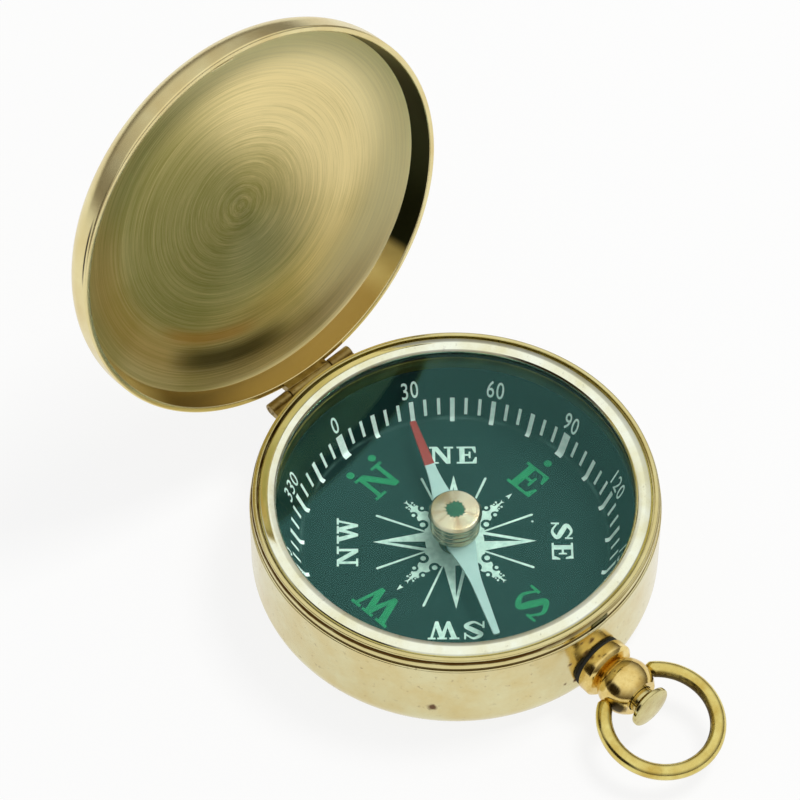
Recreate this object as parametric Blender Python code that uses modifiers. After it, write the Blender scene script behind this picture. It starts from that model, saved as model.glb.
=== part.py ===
"""Brass pocket compass with a hinged lid, a push-button lid catch and a ring to hang it by.

Units are metres and +Z is up. The case stands on its flat bottom at z = 0, on the Z axis, with the
hinge at +Y and the pendant at -Y. The lid stands open, as the compass is read.
"""
import math

import bpy
from mathutils import Matrix

MM = 0.001

# Case, a spun cup
CASE_RADIUS = 22.4 * MM
CASE_WALL = 0.9 * MM
CASE_FLOOR = 0.9 * MM
CASE_CORNER = 3.5 * MM
CASE_HEIGHT = 11.8 * MM

# Clearances: pieces pressed, screwed or soldered together, and pieces that slide or turn
FIT = 0.05 * MM
RUN = 0.10 * MM

# Rim ring, pressed into the case: it carries the dial and the bezel, and the lid fits round it
RIM_INSET = 0.2 * MM
RIM_SEAT_RISE = 1.1 * MM
RIM_COLLAR = 0.62 * MM
RIM_GROOVE = 0.4 * MM
RIM_ROUND = 0.25 * MM
RIM_BELOW_BEZEL = 0.15 * MM
RIM_BEAD_HEIGHT = 0.7 * MM
RIM_SHELF = 0.5 * MM

# Stack in the rim ring, from above: bezel, glass, gasket and spacer ring
BEZEL_WIDTH = 1.83 * MM
BEZEL_THICKNESS = 0.7 * MM
BEZEL_BEVEL = 0.2 * MM
GLASS_LAP = 0.4 * MM
GLASS_THICKNESS = 1.2 * MM
GASKET_WIDTH = 0.5 * MM
GASKET_THICKNESS = 0.3 * MM
SPACER_HEIGHT = 1.6 * MM

# Dial under the spacer, a pressed cup with a flat centre and a steep flange that carries the degree scale
DIAL_LIP_WIDTH = 0.6 * MM
DIAL_CONE_RUN = 2.56 * MM
DIAL_CONE_HEIGHT = 5.9 * MM
DIAL_SHEET = 0.30 * MM
DIAL_TURN = math.radians(2.5)
DIAL_BASE_RADIUS = 7.0 * MM

# Needle and its pivot, heights above the dial's flat face
NEEDLE_HEIGHT = 2.4 * MM
NEEDLE_SHEET = 0.25 * MM
NEEDLE_TIP_GAP = 1.54 * MM
NEEDLE_TIP_WIDTH = 0.72 * MM
NEEDLE_WAIST_WIDTH = 1.16 * MM
NEEDLE_POINT_LENGTH = 6.3 * MM
NEEDLE_ROOT_WIDTH = 3.2 * MM
NEEDLE_ROOT_RADIUS = 2.6 * MM
NEEDLE_BEARING = math.radians(25.5)
HUB_RADIUS = 2.75 * MM
HUB_SIDE = 3.15 * MM
HUB_CONE = 0.25 * MM
HUB_GROOVE = 0.2 * MM
HUB_SPIGOT_RADIUS = 1.3 * MM
HUB_FOOT = 0.3 * MM
JEWEL_RADIUS = 1.0 * MM
JEWEL_HEIGHT = 1.9 * MM
JEWEL_CUP_RADIUS = 0.55 * MM
JEWEL_CUP_DEPTH = 0.7 * MM
JEWEL_SEAT = 0.2 * MM
POST_RADIUS = 1.2 * MM
POST_HEIGHT = 1.25 * MM
POST_FLANGE = 0.3 * MM
POST_TAIL_RADIUS = 0.8 * MM
PIN_RADIUS = 0.25 * MM
PIN_POINT = 0.6 * MM

# Hinge behind the case, soldered on by hand: it leans a little, so the open lid stands askew
HINGE_OUT = 1.1 * MM
HINGE_DROP = 0.9 * MM
HINGE_LEAN = math.radians(2.8)
HINGE_SKEW = math.radians(0.75)
HINGE_PIN_RADIUS = 0.3 * MM
KNUCKLE_RADIUS = 0.75 * MM
KNUCKLE_CASE_LENGTH = 2.9 * MM
KNUCKLE_LID_LENGTH = 5.8 * MM
LEAF_HEIGHT = 2.2 * MM
LEAF_THICKNESS = 0.45 * MM
HEEL_THICKNESS = 0.6 * MM
LID_OPEN = math.radians(102.5)

# Lid, a shallow pan with a turned seat inside its rim
LID_SLACK = 0.4 * MM
LID_WALL = 0.7 * MM
LID_DEPTH = 4.2 * MM
LID_TOP = 0.4 * MM
LID_CORNER = 3.0 * MM
LID_FOLD_INSET = 0.9 * MM
LID_OVER_BEZEL = 0.15 * MM
LID_DISH = 3.2 * MM
STRIKE_WIDTH = 3.0 * MM
STRIKE_HEIGHT = 0.35 * MM
STRIKE_REACH = 0.15 * MM

# Pendant in front of the case, sizes along its axis measured out from the case wall
PENDANT_HEIGHT = 4.9 * MM
WASHER_THICKNESS = 0.55 * MM
WASHER_RADIUS = 3.25 * MM
COLLAR_RADIUS = 3.3 * MM
COLLAR_LENGTH = 1.25 * MM
COLLAR_BEVEL = 0.35 * MM
NECK_RADIUS = 2.1 * MM
BALL_RADIUS = 2.9 * MM
BALL_OUT = 4.2 * MM
MOUTH_RADIUS = 2.0 * MM
SPIGOT_RADIUS = 1.8 * MM
SPRING_BORE_RADIUS = 1.6 * MM
STEM_RADIUS = 0.6 * MM

# Push button and the lid catch on its stem
BUTTON_RADIUS = 2.45 * MM
BUTTON_THICKNESS = 0.6 * MM
BUTTON_CONE = 0.5 * MM
BUTTON_TRAVEL = 0.7 * MM
CATCH_WIDTH = 2.2 * MM
CATCH_SHEET = 0.45 * MM
CATCH_FOOT = 1.0 * MM
NOSE_HEIGHT = 0.4 * MM
NUT_RADIUS = 1.0 * MM
NUT_LENGTH = 0.45 * MM
THREAD_RADIUS = 0.45 * MM

# Return spring in the ball
SPRING_WIRE_RADIUS = 0.15 * MM
SPRING_RADIUS = 1.1 * MM
SPRING_PITCH = 0.75 * MM
SPRING_LOOP_POINTS = 24

# Bow, a wire ring sprung into the ball's sides
BOW_WIRE_RADIUS = 0.88 * MM
BOW_RADIUS = 6.17 * MM
BOW_CENTRE = 5.05 * MM
BOW_PIN_RADIUS = 0.45 * MM
BOW_PIN_LENGTH = 0.8 * MM
BOW_OFFSET = 0.4 * MM
BOW_DROOP = math.radians(8.0)
BOW_POINTS = 44

# Facets round turned pieces, large and small
LARGE = 64
SMALL = 28
MERGE = 0.000001

# Places worked out from the sizes above
CASE_INNER_RADIUS = CASE_RADIUS - CASE_WALL
RIM_RADIUS = CASE_RADIUS - RIM_INSET
RIM_SEAT = CASE_HEIGHT + RIM_SEAT_RISE
BEZEL_BOTTOM = RIM_SEAT + FIT
BEZEL_TOP = BEZEL_BOTTOM + BEZEL_THICKNESS
BEZEL_OUTER_RADIUS = RIM_RADIUS - RIM_COLLAR - FIT
BEZEL_INNER_RADIUS = BEZEL_OUTER_RADIUS - BEZEL_WIDTH
RIM_TOP = BEZEL_TOP - RIM_BELOW_BEZEL
GLASS_RADIUS = BEZEL_INNER_RADIUS + GLASS_LAP
GLASS_BOTTOM = RIM_SEAT - GLASS_THICKNESS
RIM_INNER_RADIUS = GLASS_RADIUS + FIT
GASKET_BOTTOM = GLASS_BOTTOM - FIT - GASKET_THICKNESS
SPACER_BOTTOM = GASKET_BOTTOM - FIT - SPACER_HEIGHT
DIAL_LIP = SPACER_BOTTOM - FIT
DIAL_HEIGHT = DIAL_LIP - DIAL_CONE_HEIGHT
DIAL_MOUTH_RADIUS = GLASS_RADIUS - DIAL_LIP_WIDTH
DIAL_FOLD_RADIUS = DIAL_MOUTH_RADIUS - DIAL_CONE_RUN
CONE_ANGLE = math.atan2(DIAL_CONE_HEIGHT, DIAL_CONE_RUN)
CONE_MITRE = DIAL_SHEET * math.tan(CONE_ANGLE / 2)
LID_INNER_RADIUS = RIM_RADIUS + LID_SLACK
LID_RADIUS = LID_INNER_RADIUS + LID_WALL
LID_RIM = CASE_HEIGHT + FIT
HINGE_Y = CASE_RADIUS + HINGE_OUT
HINGE_Z = CASE_HEIGHT - HINGE_DROP
LEANING = Matrix.Rotation(-HINGE_SKEW, 3, "Z") @ Matrix.Rotation(-HINGE_LEAN, 3, "Y")
NEEDLE_Z = DIAL_HEIGHT + NEEDLE_HEIGHT
NEEDLE_HALF_LENGTH = DIAL_FOLD_RADIUS - NEEDLE_TIP_GAP
NEEDLE_WAIST_RADIUS = NEEDLE_HALF_LENGTH - NEEDLE_POINT_LENGTH
HUB_BOTTOM = NEEDLE_Z + NEEDLE_SHEET / 2 + FIT
HUB_SHOULDER = HUB_BOTTOM + HUB_SIDE
HUB_TOP = HUB_SHOULDER + HUB_CONE
JEWEL_TOP = HUB_TOP - FIT
JEWEL_BOTTOM = JEWEL_TOP - JEWEL_HEIGHT
PIN_TIP = JEWEL_BOTTOM + JEWEL_CUP_DEPTH - FIT
POST_TOP = DIAL_HEIGHT + POST_HEIGHT
COLLAR_FACE = CASE_RADIUS + FIT + WASHER_THICKNESS + FIT
BALL_CENTRE = CASE_RADIUS + BALL_OUT
MOUTH_FACE = BALL_CENTRE + math.sqrt(BALL_RADIUS ** 2 - MOUTH_RADIUS ** 2)
SPRING_SEAT = COLLAR_FACE + COLLAR_LENGTH + RUN
BUTTON_UNDERSIDE = MOUTH_FACE + BUTTON_TRAVEL + RUN + BUTTON_CONE
STEM_SHOULDER = MOUTH_FACE - BUTTON_TRAVEL + 2 * RUN
CATCH_FACE = CASE_INNER_RADIUS - RUN
CATCH_BACK = CATCH_FACE - CATCH_SHEET
STRIKE_FACE = LID_INNER_RADIUS - STRIKE_REACH - 2 * FIT
NOSE_TOP = RIM_SEAT - RUN
BOW_OUT = BALL_CENTRE + BOW_OFFSET


def clear_scene():
    """Removes what the file opened with."""
    for obj in list(bpy.data.objects):
        bpy.data.objects.remove(obj, do_unlink=True)
    for group in list(bpy.data.collections):
        bpy.data.collections.remove(group)


def new_collection(name):
    """Makes a collection under the scene."""
    group = bpy.data.collections.new(name)
    bpy.context.scene.collection.children.link(group)
    return group


def new_material(name, colour, roughness, metallic, transmission=0.0):
    """Makes a Principled material from a linear colour."""
    material = bpy.data.materials.new(name)
    material.use_nodes = True
    shader = material.node_tree.nodes["Principled BSDF"]
    shader.inputs["Base Color"].default_value = (*colour, 1.0)
    shader.inputs["Roughness"].default_value = roughness
    shader.inputs["Metallic"].default_value = metallic
    shader.inputs["Transmission Weight"].default_value = transmission
    return material


clear_scene()
PARTS = new_collection("pocket_compass")
CUTTERS = new_collection("cutters")


def brass(name, roughness=0.18):
    """Polished brass, one material for each piece."""
    return new_material(name, (0.72, 0.53, 0.24), roughness, 1.0)


def steel(name):
    """Bare spring steel."""
    return new_material(name, (0.55, 0.55, 0.56), 0.28, 1.0)


def pivot(name, location, rotation=(0.0, 0.0, 0.0)):
    """An empty on a joint's axis, parent of the pieces that move with it."""
    empty = bpy.data.objects.new(name, None)
    empty.empty_display_size = 0.003
    empty.location = location
    empty.rotation_euler = rotation
    PARTS.objects.link(empty)
    return empty


def place(obj, material, parent):
    """Gives a piece its material and parent, and smooth shading between its sharp edges."""
    obj.data.materials.clear()
    obj.data.materials.append(material)
    obj.parent = parent
    if obj.type == "MESH":
        obj.data.shade_smooth()
        obj.data.set_sharp_from_angle(angle=math.radians(35))
    return obj


def arc(centre_r, centre_z, radius, start, end, count):
    """Points on an arc in the profile plane, angles in degrees from the outward direction."""
    points = []
    for i in range(count + 1):
        angle = math.radians(start + (end - start) * i / count)
        points.append((centre_r + radius * math.cos(angle), centre_z + radius * math.sin(angle)))
    return points


def turned(name, profile, steps, ring=True, group=PARTS):
    """Turns a profile of (radius, height) about Z. It runs down the piece's outer side."""
    count = len(profile)
    edges = [(i, i + 1) for i in range(count - 1)]
    if ring:
        edges.append((count - 1, 0))
    mesh = bpy.data.meshes.new(name)
    mesh.from_pydata([(r, 0.0, z) for r, z in profile], edges, [])
    obj = bpy.data.objects.new(name, mesh)
    group.objects.link(obj)
    screw = obj.modifiers.new("turn", "SCREW")
    screw.axis = "Z"
    screw.angle = 2 * math.pi
    screw.steps = steps
    screw.render_steps = steps
    screw.use_smooth_shade = True
    screw.use_merge_vertices = True
    screw.merge_threshold = MERGE
    return obj


def box(name, low, high, group=PARTS):
    """A box between two corners, with its origin at the parent's."""
    bpy.ops.mesh.primitive_cube_add(size=1.0)
    obj = bpy.context.object
    obj.name = name
    for vertex in obj.data.vertices:
        vertex.co = [a + (b - a) * (c + 0.5) for a, b, c in zip(low, high, vertex.co)]
    return move_to(obj, group)


def rod(name, radius, start, end, steps, group=PARTS):
    """A round bar along X at the origin of its parent, from start to end."""
    bpy.ops.mesh.primitive_cylinder_add(vertices=steps, radius=radius, depth=end - start)
    obj = bpy.context.object
    obj.name = name
    for vertex in obj.data.vertices:
        x, y, z = vertex.co
        vertex.co = (z + (start + end) / 2, y, -x)
    return move_to(obj, group)


def move_to(obj, group):
    """Moves an object that an operator made into a collection."""
    for owner in list(obj.users_collection):
        owner.objects.unlink(obj)
    group.objects.link(obj)
    return obj


def plug(name, radius, low, high, steps):
    """A solid round tool body on the Z axis of its parent."""
    profile = [(0.0, high), (radius, high), (radius, low), (0.0, low)]
    return turned(name, profile, steps, ring=False, group=CUTTERS)


def cutter(obj, parent=None):
    """Marks an object as a cutter or a tool body, kept out of the parts."""
    move_to(obj, CUTTERS)
    obj.parent = parent
    obj.hide_render = True
    obj.display_type = "WIRE"
    return obj


def combine(obj, tool, operation):
    """Cuts a tool body from a piece, or joins it on."""
    boolean = obj.modifiers.new(operation.lower(), "BOOLEAN")
    boolean.operation = operation
    boolean.solver = "EXACT"
    boolean.object = tool


def make_case():
    """Spun brass cup with a rounded lower corner and a bored front for the pendant."""
    flat = CASE_RADIUS - CASE_CORNER
    inner = max(CASE_CORNER - CASE_WALL, FIT)
    inner_centre = CASE_INNER_RADIUS - inner
    profile = [(0.0, CASE_FLOOR)]
    profile += arc(inner_centre, CASE_FLOOR + inner, inner, -90, 0, 5)
    profile += [(CASE_INNER_RADIUS, CASE_HEIGHT), (CASE_RADIUS, CASE_HEIGHT)]
    profile += arc(flat, CASE_CORNER, CASE_CORNER, 0, -90, 7)
    profile.append((0.0, 0.0))
    case = turned("case_body", profile, LARGE, ring=False)
    hole_radius = SPIGOT_RADIUS + FIT
    length = 2 * CASE_WALL
    hole = plug("pendant_hole", hole_radius, -length, length, SMALL)
    hole.rotation_euler = (math.pi / 2, 0.0, 0.0)
    hole.location = (0.0, -(CASE_RADIUS - CASE_WALL / 2), PENDANT_HEIGHT)
    combine(case, cutter(hole), "DIFFERENCE")
    return place(case, brass("case brass"), None)


def make_rim():
    """Rim ring with a bead and a groove outside, a shelf for the dial and a slot for the catch."""
    spigot = CASE_INNER_RADIUS - FIT
    groove = RIM_RADIUS - RIM_GROOVE
    collar = BEZEL_OUTER_RADIUS + FIT
    bead = RIM_TOP - RIM_BEAD_HEIGHT
    shelf = DIAL_LIP - DIAL_SHEET - FIT
    shelf_radius = DIAL_MOUTH_RADIUS + CONE_MITRE + RUN
    profile = arc(RIM_RADIUS - RIM_ROUND, RIM_TOP - RIM_ROUND, RIM_ROUND, 90, 0, 3)
    profile += [(RIM_RADIUS, bead), (groove, bead), (groove, CASE_HEIGHT + FIT), (spigot, CASE_HEIGHT + FIT)]
    profile += [(spigot, shelf - RIM_SHELF), (shelf_radius, shelf - RIM_SHELF), (shelf_radius, shelf)]
    profile += [(RIM_INNER_RADIUS, shelf), (RIM_INNER_RADIUS, RIM_SEAT)]
    profile += [(collar, RIM_SEAT), (collar, RIM_TOP)]
    rim = turned("rim_ring", profile, LARGE)
    half = CATCH_WIDTH / 2 + RUN
    slot = box("catch_slot", (-half, -(RIM_RADIUS + RIM_GROOVE), shelf - 2 * RIM_SHELF),
               (half, -(shelf_radius - RIM_SHELF), RIM_SEAT - FIT), CUTTERS)
    combine(rim, cutter(slot), "DIFFERENCE")
    return place(rim, brass("rim brass"), None)


def make_bezel():
    """Crowned ring that holds the glass down."""
    middle = (BEZEL_INNER_RADIUS + BEZEL_OUTER_RADIUS) / 2
    crown = BEZEL_TOP - BEZEL_BEVEL / 2
    profile = [(BEZEL_INNER_RADIUS, BEZEL_TOP - 2 * BEZEL_BEVEL), (BEZEL_INNER_RADIUS + BEZEL_BEVEL, crown)]
    profile += [(middle, BEZEL_TOP), (BEZEL_OUTER_RADIUS - BEZEL_BEVEL, crown)]
    profile += [(BEZEL_OUTER_RADIUS, BEZEL_TOP - 1.5 * BEZEL_BEVEL), (BEZEL_OUTER_RADIUS, BEZEL_BOTTOM)]
    profile += [(BEZEL_INNER_RADIUS, BEZEL_BOTTOM)]
    return place(turned("bezel", profile, LARGE), brass("bezel brass", 0.1), None)


def make_glass():
    """Flat glass over the dial."""
    top = GLASS_BOTTOM + GLASS_THICKNESS
    profile = [(0.0, top), (GLASS_RADIUS, top), (GLASS_RADIUS, GLASS_BOTTOM), (0.0, GLASS_BOTTOM)]
    glass = turned("glass", profile, LARGE, ring=False)
    return place(glass, new_material("window glass", (0.95, 0.98, 0.96), 0.02, 0.0, 1.0), None)


def ring_between(name, inner, outer, bottom, height):
    """Plain ring of rectangular section."""
    top = bottom + height
    return turned(name, [(inner, top), (outer, top), (outer, bottom), (inner, bottom)], LARGE)


def make_gasket_and_spacer():
    """Rubber gasket under the glass, and the brass ring that stands on the dial's lip."""
    inner = GLASS_RADIUS - GASKET_WIDTH
    gasket = ring_between("glass_gasket", inner, GLASS_RADIUS, GASKET_BOTTOM, GASKET_THICKNESS)
    place(gasket, new_material("gasket rubber", (0.015, 0.015, 0.015), 0.7, 0.0), None)
    spacer = ring_between("spacer_ring", DIAL_MOUTH_RADIUS + FIT, GLASS_RADIUS, SPACER_BOTTOM, SPACER_HEIGHT)
    place(spacer, brass("spacer brass", 0.3), None)


def make_dial():
    """Pressed dial: flat centre with a hole for the post, steep flange and a narrow lip."""
    hole = POST_RADIUS + FIT
    lip_under = DIAL_LIP - DIAL_SHEET
    flat_under = DIAL_HEIGHT - DIAL_SHEET
    profile = [(hole, DIAL_HEIGHT), (DIAL_FOLD_RADIUS, DIAL_HEIGHT), (DIAL_MOUTH_RADIUS, DIAL_LIP)]
    profile += [(GLASS_RADIUS, DIAL_LIP), (GLASS_RADIUS, lip_under)]
    profile += [(DIAL_MOUTH_RADIUS + CONE_MITRE, lip_under)]
    profile += [(DIAL_FOLD_RADIUS + CONE_MITRE, flat_under), (hole, flat_under)]
    dial = turned("dial", profile, LARGE)
    dial.rotation_euler = (0.0, 0.0, DIAL_TURN)
    place(dial, new_material("dial enamel", (0.013, 0.046, 0.042), 0.45, 0.0), None)


def make_dial_base():
    """Brass disc under the dial that holds the pivot post."""
    hole = POST_TAIL_RADIUS + FIT
    bottom = CASE_FLOOR + FIT
    top = DIAL_HEIGHT - DIAL_SHEET - FIT
    profile = [(hole, top), (DIAL_BASE_RADIUS, top), (DIAL_BASE_RADIUS, bottom), (hole, bottom)]
    base = turned("dial_base", profile, SMALL)
    place(base, brass("base brass", 0.35), None)


def make_post_and_pin():
    """Brass post riveted through the dial into its base, and the steel pin that carries the needle."""
    socket = PIN_RADIUS + FIT
    socket_floor = DIAL_HEIGHT
    seat = DIAL_HEIGHT + FIT
    under = DIAL_HEIGHT - DIAL_SHEET
    flange_radius = 1.5 * POST_RADIUS
    waist = (POST_RADIUS + socket) / 2
    profile = [(0.0, socket_floor), (socket, socket_floor), (socket, POST_TOP), (waist, POST_TOP)]
    profile += [(POST_RADIUS, seat + POST_FLANGE), (flange_radius, seat + POST_FLANGE), (flange_radius, seat)]
    profile += [(POST_RADIUS, seat), (POST_RADIUS, under), (POST_TAIL_RADIUS, under)]
    profile += [(POST_TAIL_RADIUS, CASE_FLOOR + 2 * FIT), (0.0, CASE_FLOOR + 2 * FIT)]
    place(turned("pivot_post", profile, SMALL, ring=False), brass("post brass"), None)
    foot = socket_floor + FIT
    profile = [(0.0, PIN_TIP), (PIN_RADIUS, PIN_TIP - PIN_POINT), (PIN_RADIUS, foot), (0.0, foot)]
    place(turned("pivot_pin", profile, SMALL, ring=False), steel("pivot steel"), None)


def blade_half_width(distance):
    """Half the needle's width at a distance from the pivot: concave to the waist, then straight."""
    root = NEEDLE_ROOT_WIDTH / 2
    waist = NEEDLE_WAIST_WIDTH / 2
    if distance <= NEEDLE_ROOT_RADIUS:
        return root
    if distance <= NEEDLE_WAIST_RADIUS:
        part = (NEEDLE_WAIST_RADIUS - distance) / (NEEDLE_WAIST_RADIUS - NEEDLE_ROOT_RADIUS)
        return waist + (root - waist) * part ** 1.8
    part = (distance - NEEDLE_WAIST_RADIUS) / (NEEDLE_HALF_LENGTH - NEEDLE_WAIST_RADIUS)
    return waist + (NEEDLE_TIP_WIDTH / 2 - waist) * part


def make_blade(parent):
    """Flat magnetised blade with blunt tips and a hole for the hub's spigot."""
    stations = [0.0, NEEDLE_ROOT_RADIUS]
    span = NEEDLE_WAIST_RADIUS - NEEDLE_ROOT_RADIUS
    stations += [NEEDLE_ROOT_RADIUS + span * i / 6 for i in range(1, 7)]
    stations.append(NEEDLE_HALF_LENGTH)
    quarter = [(blade_half_width(y), y) for y in stations]
    right = [(x, -y) for x, y in reversed(quarter[1:])] + quarter
    outline = right + [(-x, y) for x, y in reversed(right)]
    hole_radius = HUB_SPIGOT_RADIUS + FIT
    turns = [2 * math.pi * i / SMALL for i in range(SMALL)]
    hole = [(hole_radius * math.cos(a), hole_radius * math.sin(a)) for a in turns]
    curve = bpy.data.curves.new("needle_blade", "CURVE")
    curve.dimensions = "2D"
    curve.fill_mode = "BOTH"
    curve.extrude = NEEDLE_SHEET / 2
    for points in (outline, hole):
        spline = curve.splines.new("POLY")
        spline.points.add(len(points) - 1)
        spline.use_cyclic_u = True
        for point, (x, y) in zip(spline.points, points):
            point.co = (x, y, 0.0, 1.0)
    blade = bpy.data.objects.new("needle_blade", curve)
    PARTS.objects.link(blade)
    place(blade, new_material("needle paint", (0.62, 0.68, 0.66), 0.35, 0.0), parent)


def make_hub(parent):
    """Brass cap riveted to the blade, heights measured from the blade's middle."""
    shoulder = HUB_SHOULDER - NEEDLE_Z
    top = HUB_TOP - NEEDLE_Z
    bottom = HUB_BOTTOM - NEEDLE_Z
    bore = JEWEL_RADIUS + FIT
    lower_bore = JEWEL_RADIUS - JEWEL_SEAT
    foot_top = -(NEEDLE_SHEET / 2 + FIT)
    foot_radius = HUB_SPIGOT_RADIUS + HUB_FOOT
    seat = JEWEL_BOTTOM - FIT - NEEDLE_Z
    groove_low = bottom + HUB_SIDE * 0.45
    groove_high = bottom + HUB_SIDE * 0.58
    profile = [(bore, top), (bore + HUB_GROOVE, top), (HUB_RADIUS, shoulder), (HUB_RADIUS, groove_high)]
    profile += [(HUB_RADIUS - HUB_GROOVE, groove_high), (HUB_RADIUS - HUB_GROOVE, groove_low)]
    profile += [(HUB_RADIUS, groove_low), (HUB_RADIUS, bottom), (HUB_SPIGOT_RADIUS, bottom)]
    profile += [(HUB_SPIGOT_RADIUS, foot_top), (foot_radius, foot_top), (foot_radius, foot_top - HUB_FOOT)]
    profile += [(lower_bore, foot_top - HUB_FOOT), (lower_bore, seat), (bore, seat)]
    place(turned("needle_hub", profile, SMALL), brass("hub brass", 0.15), parent)
    low = JEWEL_BOTTOM - NEEDLE_Z
    high = JEWEL_TOP - NEEDLE_Z
    profile = [(0.0, high), (JEWEL_RADIUS, high), (JEWEL_RADIUS, low), (JEWEL_CUP_RADIUS, low)]
    profile.append((0.0, low + JEWEL_CUP_DEPTH))
    jewel = turned("jewel_bearing", profile, SMALL, ring=False)
    place(jewel, new_material("jewel glass", (0.02, 0.16, 0.1), 0.05, 0.0, 0.8), parent)


def make_needle():
    """The needle turns on the pin, on the Z axis."""
    parent = pivot("needle_pivot", (0.0, 0.0, NEEDLE_Z), (0.0, 0.0, -NEEDLE_BEARING))
    make_blade(parent)
    make_hub(parent)


def make_case_knuckle(side, name):
    """A tube soldered to the back of the case, with its bore for the hinge pin."""
    start = KNUCKLE_LID_LENGTH / 2 + RUN
    ends = sorted((side * start, side * (start + KNUCKLE_CASE_LENGTH)))
    origin = pivot(name + "_place", (0.0, HINGE_Y, HINGE_Z), LEANING.to_euler())
    saddle_top = KNUCKLE_RADIUS - (start + KNUCKLE_CASE_LENGTH) * math.sin(HINGE_LEAN)
    saddle = box(name, (ends[0], -HINGE_OUT - CASE_WALL, -KNUCKLE_RADIUS), (ends[1], 0.0, saddle_top))
    tube = rod(name + "_tube", KNUCKLE_RADIUS, ends[0], ends[1], SMALL)
    combine(saddle, cutter(tube, origin), "UNION")
    bore = rod(name + "_bore", HINGE_PIN_RADIUS + FIT, ends[0] - RUN, ends[1] + RUN, SMALL)
    combine(saddle, cutter(bore, origin), "DIFFERENCE")
    wall = plug(name + "_wall", CASE_RADIUS + FIT, 0.0, CASE_HEIGHT, LARGE)
    combine(saddle, cutter(wall), "DIFFERENCE")
    place(saddle, brass(name + " brass", 0.3), origin)


def make_hinge():
    """Case knuckles and the pin through all three tubes."""
    make_case_knuckle(-1, "case_knuckle_left")
    make_case_knuckle(1, "case_knuckle_right")
    half = KNUCKLE_LID_LENGTH / 2 + RUN + KNUCKLE_CASE_LENGTH
    pin = rod("hinge_pin", HINGE_PIN_RADIUS, -half, half, SMALL)
    origin = pivot("hinge_pin_place", (0.0, HINGE_Y, HINGE_Z), LEANING.to_euler())
    place(pin, brass("hinge pin brass", 0.3), origin)


def make_lid_shell(parent):
    """Lid pan: rounded top corner outside; inside, a seat wall, a fold and a dished floor."""
    floor = LID_RIM + LID_DEPTH
    top = floor + LID_TOP
    fold = BEZEL_TOP + LID_OVER_BEZEL
    fold_radius = LID_INNER_RADIUS - LID_FOLD_INSET
    floor_radius = fold_radius - LID_DISH
    seat_top = fold - 2 * RUN
    profile = [(0.0, top)] + arc(LID_RADIUS - LID_CORNER, top - LID_CORNER, LID_CORNER, 90, 0, 8)
    profile += [(LID_RADIUS, LID_RIM), (LID_INNER_RADIUS, LID_RIM), (LID_INNER_RADIUS, seat_top)]
    for i in range(7):
        angle = math.radians(90 - 15 * i)
        r = floor_radius + LID_DISH * math.sin(angle)
        profile.append((r, fold + (floor - fold) * math.cos(angle)))
    profile.append((0.0, floor))
    shell = turned("lid_shell", [(r, z - HINGE_Z) for r, z in profile], LARGE, ring=False)
    shell.location = (0.0, -HINGE_Y, 0.0)
    place(shell, brass("lid brass"), parent)


def make_lid_knuckle(parent):
    """Middle tube of the hinge, its leaf on the lid's wall and the heel that stops the lid."""
    half = KNUCKLE_LID_LENGTH / 2
    leaf_back = LID_RADIUS - HINGE_Y + LEAF_THICKNESS
    leaf_front = leaf_back - LEAF_THICKNESS - LID_WALL
    leaf = box("lid_knuckle", (RUN - half, leaf_front, 0.0), (half - RUN, leaf_back, LEAF_HEIGHT))
    tube = rod("lid_tube", KNUCKLE_RADIUS, -half, half, SMALL)
    tube.rotation_euler = LEANING.to_euler()
    combine(leaf, cutter(tube, parent), "UNION")
    thick = HEEL_THICKNESS / 2
    heel = box("lid_heel", (RUN - half, 0.0, -thick), (half - RUN, HINGE_OUT - RUN, thick))
    heel.rotation_euler = (LEANING @ Matrix.Rotation(math.pi + LID_OPEN, 3, "X")).to_euler()
    combine(leaf, cutter(heel, parent), "UNION")
    bore = rod("lid_tube_bore", HINGE_PIN_RADIUS + FIT, -half - RUN, half + RUN, SMALL)
    bore.rotation_euler = LEANING.to_euler()
    combine(leaf, cutter(bore, parent), "DIFFERENCE")
    low = LID_RIM - HINGE_Z - FIT
    wall = plug("lid_wall", LID_RADIUS + FIT, low, LEAF_HEIGHT + LID_DEPTH, LARGE)
    wall.location = (0.0, -HINGE_Y, 0.0)
    combine(leaf, cutter(wall, parent), "DIFFERENCE")
    place(leaf, brass("lid knuckle brass", 0.3), parent)


def make_strike(parent):
    """Small bar soldered inside the lid's free edge, which the catch holds."""
    low = LID_RIM + FIT - HINGE_Z
    half = STRIKE_WIDTH / 2
    outer = math.sqrt((LID_INNER_RADIUS - FIT) ** 2 - half ** 2)
    front = -outer - HINGE_Y
    back = -STRIKE_FACE - HINGE_Y
    strike = box("lid_strike", (-half, front, low), (half, back, low + STRIKE_HEIGHT))
    place(strike, brass("strike brass", 0.3), parent)


def make_lid():
    """The lid swings on the leaning hinge pin: level when shut, askew when open."""
    swing = LEANING @ Matrix.Rotation(-LID_OPEN, 3, "X") @ LEANING.inverted()
    parent = pivot("lid_pivot", (0.0, HINGE_Y, HINGE_Z), swing.to_euler())
    make_lid_shell(parent)
    make_lid_knuckle(parent)
    make_strike(parent)


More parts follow.
